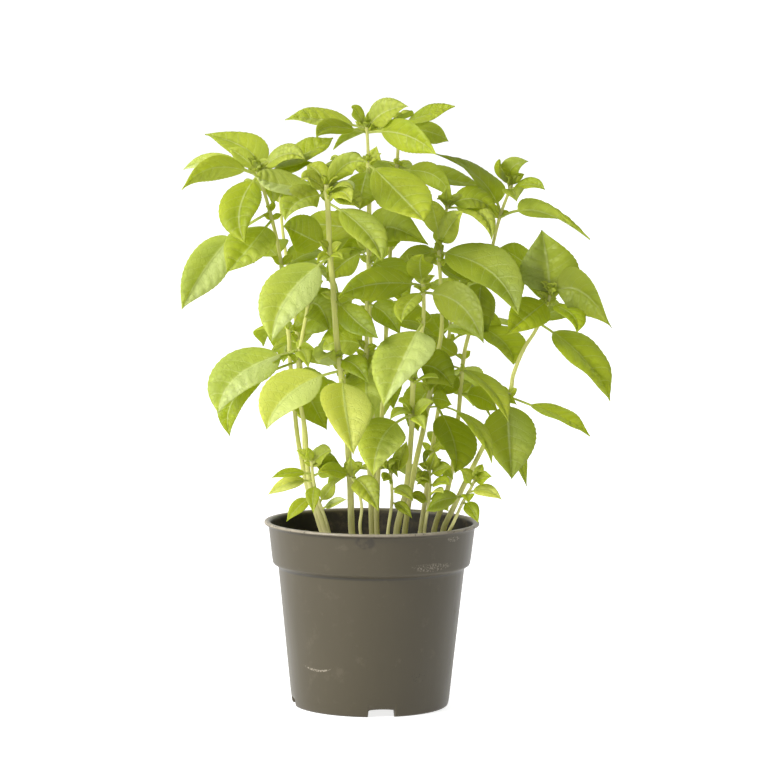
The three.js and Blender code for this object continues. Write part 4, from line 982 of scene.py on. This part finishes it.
def make_soil(finish):
    """A closed body: crowned lumpy top in rings round the axis, then down the pot's wall."""
    floor = FLOOR + GAP
    band = BAND_FOOT_RADIUS - WALL - 2 * GAP
    low, high = (BODY_FOOT_RADIUS + BODY_SLOPE * at - WALL - 2 * GAP for at in (floor, SHOULDER))
    edge = SOIL_TOP - SOIL_CROWN
    turns = np.linspace(0, TAU, SOIL_COLUMNS, endpoint=False)
    share = np.linspace(0.004, 1, SOIL_RINGS)[:, None]
    top = turned(band * share, turns, edge + SOIL_CROWN * (1 - share**2))
    top[..., 2] += clods(top[..., 0], top[..., 1])
    wall = [(band, edge - 3), (band, SHOULDER + SOIL_STEP[1]), (high, SHOULDER + SOIL_STEP[0])]
    wall += [(high, SHOULDER), (low, floor), (0.2, floor)]
    radius, height = np.array(wall).T[:, :, None]
    points = np.concatenate([top, turned(radius, turns, height)])
    faces = tube_faces(*points.shape[:2])[:, FLIPPED]
    middles = [[0, 0, edge + SOIL_CROWN + clods(0, 0)], [0, 0, floor]]
    points = np.vstack([points.reshape(-1, 3), middles])
    piece("growing_mix", points, faces, finish, "soil")


def make_crumbs(finish):
    """Crumbs on the mix: twelve-point balls, each squashed and made uneven by its own draw."""
    draw = np.random.default_rng(SEED)
    golden = (1 + 5**0.5) / 2
    pairs = [(a, b * golden) for a in (-1, 1) for b in (-1, 1)]
    ball = [(a, b, 0) for a, b in pairs] + [(0, a, b) for a, b in pairs]
    ball = unit(np.array(ball + [(b, 0, a) for a, b in pairs], float))
    near = np.linalg.norm(ball[:, None] - ball[None], axis=-1) < 1.2
    corners = range(CRUMB_CORNERS)
    faces = [(i, j, k) for i in corners for j in range(i) for k in range(j)
             if near[i, j] and near[j, k] and near[i, k]]
    faces = [f if np.dot(np.cross(ball[f[1]] - ball[f[0]], ball[f[2]] - ball[f[0]]), ball[f[0]]) > 0
             else f[::-1] for f in faces]
    reach = BAND_FOOT_RADIUS - WALL - CRUMB_ROOM
    radius, turn = reach * np.sqrt(draw.random(CRUMBS)), TAU * draw.random(CRUMBS)
    x, y, _ = turned(radius, turn, 0).T
    size = CRUMB_SIZE[0] + CRUMB_SIZE[1] * draw.random(CRUMBS) ** 3
    z = SOIL_TOP - SOIL_CROWN * (radius / reach) ** 2 + clods(x, y) + 0.25 * size
    shape = ball[None] * (size[:, None, None] * draw.uniform(*CRUMB_STRETCH, (CRUMBS, 1, 3)))
    shape = shape * draw.uniform(*CRUMB_UNEVEN, (CRUMBS, CRUMB_CORNERS, 1))
    points = shape + np.stack([x, y, z], axis=-1)[:, None]
    firsts = CRUMB_CORNERS * np.arange(CRUMBS)[:, None, None]
    every = np.array(faces)[:, [0, 1, 2, 2]] + firsts
    piece("mix_crumbs", points.reshape(-1, 3), every.reshape(-1, 4), finish,
          "soil", smooth=False)


# ------------------------------------------------------------ stems
def route_of(plant):
    """Straight down into the mix at the foot, then through the sighted points."""
    x, y = plant["foot"]
    root, collar = [x, y, SOIL_TOP - ROOT_DEPTH], [x, y, SOIL_TOP + COLLAR]
    return np.array([root, collar] + [seen(point) for point in plant["route"]])


def place_at_height(plant, height):
    """Where on the route, from 0 to 1, a stem passes a sighted height."""
    ups = np.array([point[2] for point in plant["route"]])
    below = np.clip(np.searchsorted(ups, height, side="right") - 1, 0, len(ups) - 2)
    share = np.clip((height - ups[below]) / (ups[below + 1] - ups[below]), 0, 1)
    return (below + share + 2) / (len(ups) + 1)


def stem_tube(route, plant, draw):
    """A rounded square carried along the route, thinning upward and swollen at its joints."""
    rough = spline(route, np.linspace(0, 1, 200))
    length = np.linalg.norm(np.diff(rough, axis=0), axis=1).sum()
    rows = max(12, int(length / STEM_STEP))
    place = np.linspace(0, 1, rows)
    middle = spline(route, place)
    forward = unit(np.gradient(middle, axis=0))
    side = unit(np.cross(forward, [0.0, 1.0, 0.2]))
    face = np.cross(side, forward)
    foot, tip = plant["radius"]
    radius = foot + (tip - foot) * place**0.8
    joints = sorted({place_at_height(plant, leaf[0]) for leaf in plant["leaves"]})
    for joint in joints:
        from_joint = (place - joint) * length / JOINT_LENGTH
        radius = radius * (1 + JOINT_SWELL * np.exp(-(from_joint**2)))
    turn = np.linspace(0, TAU, STEM_RING, endpoint=False)
    square = (np.abs(np.cos(turn)) ** 4 + np.abs(np.sin(turn)) ** 4) ** -0.16
    ripple = 1 + 0.02 * np.sin(place[:, None] * length * 0.6 + draw.uniform(0, TAU))
    ring = STEM_FULLNESS * radius[:, None] * square * ripple
    points = middle[:, None] + (ring * np.cos(turn))[..., None] * side[:, None]
    points = points + (ring * np.sin(turn))[..., None] * face[:, None]
    ends = np.stack([middle[0], middle[-1] + forward[-1] * tip * 0.5])
    return np.vstack([points.reshape(-1, 3), ends]), tube_faces(rows, STEM_RING)


# ------------------------------------------------------------ leaves
def blade_outline(share):
    """Half width from base to tip: a sine of a bent share, flattened early, pointed at the end."""
    oval = np.sin(np.pi * share**BLADE_SKEW) ** (BLADE_FULLNESS + TIP_POINT * share**3)
    return oval * (1 - TIP_TAPER * share**3)


def facing_of(turn):
    """Which way a face looks: leant from upward to the viewer, then slewed to the right."""
    lean, slew = (math.radians(angle) for angle in turn)
    toward, up = -math.sin(lean) * math.cos(slew), math.cos(lean) * math.cos(slew)
    return np.array([math.sin(slew), toward, up])


def midrib_frame(root, tip, arch, turn, along):
    """Points at shares along the leaf's arc, and there the ways forward, sideways and outward."""
    top = (root + tip) / 2 + 2 * np.array([arch[0], 0, arch[1]])
    a = along[:, None]
    middle = (1 - a) ** 2 * root + 2 * a * (1 - a) * top + a**2 * tip
    forward = unit((1 - a) * (top - root) + a * (tip - top))
    facing = facing_of(turn)
    face = unit(facing - (forward @ facing)[:, None] * forward)
    return middle, forward, np.cross(forward, face), face


def blade_relief(t, x, half, pleats, draw):
    """How far the blade stands off its midrib's line, for t from base to tip and edge = |x|.

    The halves rise like a flat V, (fold edge - curl edge**3) half widths high, where curl takes
    the margin back to about EDGE_LIFT; between the side veins the blade swells, and it waves.
    """
    edge = np.abs(x)
    sweep = VEIN_SWEEP * edge**VEIN_BEND
    phase = VEIN_PAIRS * (t - sweep) / (1 - sweep)
    swell = np.abs(np.cos(np.pi * phase)) ** 0.8 * np.sin(np.pi * edge**0.75) ** 0.8
    swell = swell * np.clip((1 - t) * 4, 0, 1)
    waves, shift, apart = draw.uniform(1.2, 2.4), draw.uniform(0, TAU), draw.uniform(0.5, 2.5)
    wave = np.sin(TAU * waves * t + shift + (x > 0) * apart) * edge**2
    fold = draw.uniform(0.4, 0.75)
    bent = half * (fold * edge - (fold - EDGE_LIFT * draw.uniform(0.6, 1.3)) * edge**3)
    return np.sqrt(t) * (bent + half.max() * (pleats * swell + WAVE * wave))


def leaf_sheet(root, tip, width, arch, turn, petiole, pleats, draw):
    """Petiole and blade as closed rings carried along an arc from the stem to the tip.

    Across a ring the upper and the lower face lie either side of the blade's relief. The
    petiole is the same ring grown round, and the midrib a tapering rib under the blade.
    """
    blade_rows, half_ring, teeth = LARGE_GRID if width >= LARGE_LEAF else SMALL_GRID
    share = np.linspace(0, 1, blade_rows) ** 0.95
    stalk_rows = np.linspace(0, petiole, PETIOLE_ROWS)[:-1]
    along = np.concatenate([stalk_rows, petiole + (1 - petiole) * share])
    t = np.clip((along - petiole) / (1 - petiole), 0, 1)[:, None]
    middle, forward, side, face = midrib_frame(root, tip, arch, turn, along)
    twist = draw.uniform(-TWIST, TWIST) * t
    cos, sin = np.cos(twist), np.sin(twist)
    side, face = side * cos + face * sin, face * cos - side * sin
    sway = draw.uniform(-SWAY, SWAY) * np.linalg.norm(tip - root) * np.sin(np.pi * t)
    margin = 1 + TOOTH * np.sin(TAU * t * teeth) * (t > 0.12) * (t < 0.97)
    stalk = PETIOLE_HALF * (0.75 + 0.25 * min(1, width / 24)) * np.sqrt(1 - t * 0.96)
    half = np.hypot(stalk, width / 2 * blade_outline(t) * margin)
    x = np.sin(np.linspace(-np.pi / 2, np.pi / 2, half_ring))[None]
    edge, span = np.abs(x), x * half
    lift = blade_relief(t, x, half, pleats, draw)
    rib = RIB * stalk * np.exp(-((span / (0.9 * stalk)) ** 2))
    thin = np.sqrt(1 - edge**8)
    round_share = np.exp(-((t * 14) ** 2))
    round_top = stalk * np.sqrt(1 - edge**2) * round_share
    upper = thin * (BLADE / 2) * (1 - round_share) + 0.55 * round_top
    lower = thin * (BLADE / 2 + rib) * (1 - round_share) + 0.95 * round_top
    centre = middle[:, None] + (span + sway)[..., None] * side[:, None]
    over = centre + (lift + upper)[..., None] * face[:, None]
    below = centre + (lift - lower)[..., None] * face[:, None]
    ring = np.concatenate([over, below[:, -2:0:-1]], axis=1)
    rows, columns = ring.shape[:2]
    points = np.vstack([ring.reshape(-1, 3), root - forward[0] * 0.4, tip])
    order = np.concatenate([np.arange(half_ring), np.arange(half_ring - 2, 0, -1)])
    blade_map = np.stack([np.repeat(t, columns, 1), np.tile((x[0, order] + 1) / 2, (rows, 1))], axis=-1)
    under = np.tile(np.concatenate([np.zeros(half_ring), np.ones(half_ring - 2)]), (rows, 1))
    under[:, [0, half_ring - 1]] = 0.5
    blade_map = np.vstack([blade_map.reshape(-1, 2), [[0, 0.5], [1, 0.5]]])
    under = np.append(under.reshape(-1), [0, 0])
    return points, tube_faces(rows, columns)[:, FLIPPED], blade_map, under


def buds(plant, route, draw):
    """Small young leaves, evenly turned round the joints and the tip, their size and rise drawn."""
    joints = sorted({leaf[0] for leaf in plant["leaves"] if leaf[2] >= LARGE_LEAF})
    counts = [JOINT_BUDS] * len(joints) + [TIP_BUDS]
    found = []
    for height, count in zip(joints + [plant["route"][-1][2]], counts):
        base = spline(route, np.array([place_at_height(plant, height)]))[0]
        for angle in draw.uniform(0, TAU) + TAU / count * np.arange(count):
            size = draw.uniform(*BUD_SIZE) * (TIP_BUD_SCALE if count == TIP_BUDS else 1)
            way = np.array([math.cos(angle), math.sin(angle), draw.uniform(*BUD_RISE)])
            tip = base + size * way
            turn = (draw.uniform(*BUD_LEAN), 25 * math.cos(angle))
            found.append((base, tip, size * BUD_WIDTH, (0, BUD_ARCH * size), turn))
    return found


def grow(name, plant, leaf_material, stem_material, draw):
    """One plant: its stem as one piece and all its leaves as another."""
    route = route_of(plant)
    points, faces = stem_tube(route, plant, draw)
    short_name = name.removeprefix("stem_")
    piece("stalk_" + short_name, points, faces, stem_material, name)
    sheets, shades = [], []
    for height, tip, width, arch, turn, petiole, shade in plant["leaves"]:
        root = spline(route, np.array([place_at_height(plant, height)]))[0]
        sheets.append(leaf_sheet(root, seen(tip), width, arch, turn, petiole, SHADES[shade][3], draw))
        shades.append(SHADES[shade])
    young = SHADES["young"]
    for root, tip, width, arch, turn in buds(plant, route, draw):
        sheets.append(leaf_sheet(root, tip, width, arch, turn, BUD_PETIOLE, young[3], draw))
        shades.append(young)
    counts = [len(sheet[0]) for sheet in sheets]
    firsts = np.cumsum([0] + counts)
    faces = np.concatenate([sheet[1] + first for sheet, first in zip(sheets, firsts)])
    # The shade words' brightness and paleness carry painted light and shade as well as each leaf's own
    # tone.
    tone, yellow, pale, _ = np.array(shades).T
    tone = tone * draw.uniform(0.93, 1.07, len(tone))
    yellow = np.clip(yellow + draw.uniform(-0.06, 0.1, len(tone)), 0, 1)
    shade = np.repeat(np.stack([tone, yellow, pale, tone * 0 + 1], axis=1), counts, axis=0)
    points = np.vstack([sheet[0] for sheet in sheets])
    leaves = piece("leaves_" + short_name, points, faces, leaf_material, name)
    paint(leaves.data, np.vstack([sheet[2] for sheet in sheets]),
          np.concatenate([sheet[3] for sheet in sheets]), shade)


def paint(mesh, blade_map, under, shade):
    """Puts the blade map, the underside mark and the shade on the mesh."""
    corners = np.empty(len(mesh.loops), int)
    mesh.loops.foreach_get("vertex_index", corners)
    layer = mesh.uv_layers.new(name="blade")
    layer.data.foreach_set("uv", blade_map[corners].astype(np.float32).ravel())
    put_attribute(mesh, "under", "FLOAT", "value", under)
    put_attribute(mesh, "shade", "FLOAT_COLOR", "color", shade)


# ------------------------------------------------------------ stage
def stand(name, data, place, right, up, back):
    """Stands a camera or a lamp at a place (m from the pot's axis), turned by its three ways."""
    thing = add_object(name, data)
    matrix = np.eye(4)
    matrix[:3, :3] = np.column_stack([right, up, back])
    matrix[:3, 3] = place + AXIS
    thing.matrix_world = Matrix(matrix.tolist())
    return thing


def make_camera():
    """The eye of the sighted positions, with a lens that spans the square picture."""
    data = bpy.data.cameras.new("camera")
    data.sensor_width = SENSOR
    data.lens = SENSOR * SIGHT_DISTANCE / (PICTURE_STEP * PICTURE_SIDE)
    data.clip_end = FAR_CLIP
    camera = stand("camera", data, EYE * MM, SIGHT_RIGHT, SIGHT_UP, -SIGHT_ALONG)
    bpy.context.scene.camera = camera


def soft_light(name, place, size, power):
    """A square area light that looks at the plant's middle."""
    data = bpy.data.lights.new(name, "AREA")
    data.size, data.energy = size, power
    back = unit(np.array(place) - LIT_MIDDLE)
    right = unit(np.cross([0, 0, 1.0], back))
    stand(name, data, np.array(place), right, np.cross(back, right), back)


def make_surroundings():
    """White behind the plant, to its left and above, and a dim room in front and to its right."""
    f = Finish("surroundings", "worlds", "Generated")
    x, y, z = f.parts("ShaderNodeSeparateXYZ", f.place)
    white = (y - x * 0.6 + z * 0.5).step(-0.1, 0.8)
    strength = DIM_ROOM + (WHITE_ROOM - DIM_ROOM) * white
    bright = f.node("ShaderNodeBackground", None, {"Color": (1, 1, 1, 1), "Strength": strength})
    bpy.context.scene.world = f.done(bright, "ShaderNodeOutputWorld")


def make_stage():
    """Pale floor that glows a little, so that it stays white, the soft lamps and plain colours."""
    f = Finish("pale_floor")
    tone = f.mix(f.noise(3, 2), (0.6, 0.6, 0.6), (0.64, 0.64, 0.64))
    glow = {"Emission_Color": (1, 1, 1, 1), "Emission_Strength": FLOOR_GLOW}
    material = f.done(f.surface(Base_Color=tone, Roughness=0.8, **glow))
    mesh = bpy.data.meshes.new("floor")
    corners = [(-1, -1), (1, -1), (1, 1), (-1, 1)]
    mesh.from_pydata([(x * FLOOR_REACH, y * FLOOR_REACH, 0) for x, y in corners], [], [(0, 1, 2, 3)])
    mesh.materials.append(material)
    floor = add_object("floor", mesh)
    for name, lamp in LAMPS.items():
        soft_light(name, *lamp)
    bpy.context.scene.view_settings.view_transform = "Standard"


# ------------------------------------------------------------ everything
make_surroundings()
make_stage()
make_camera()
make_pot(pot_finish())
mix_material = soil_finish()
make_soil(mix_material)
make_crumbs(mix_material)
leaf_material, stem_material = leaf_finish(), stem_finish()
for number, (stem_name, stem_plan) in enumerate(STEMS.items()):
    grow(stem_name, stem_plan, leaf_material, stem_material, np.random.default_rng(SEED + number))
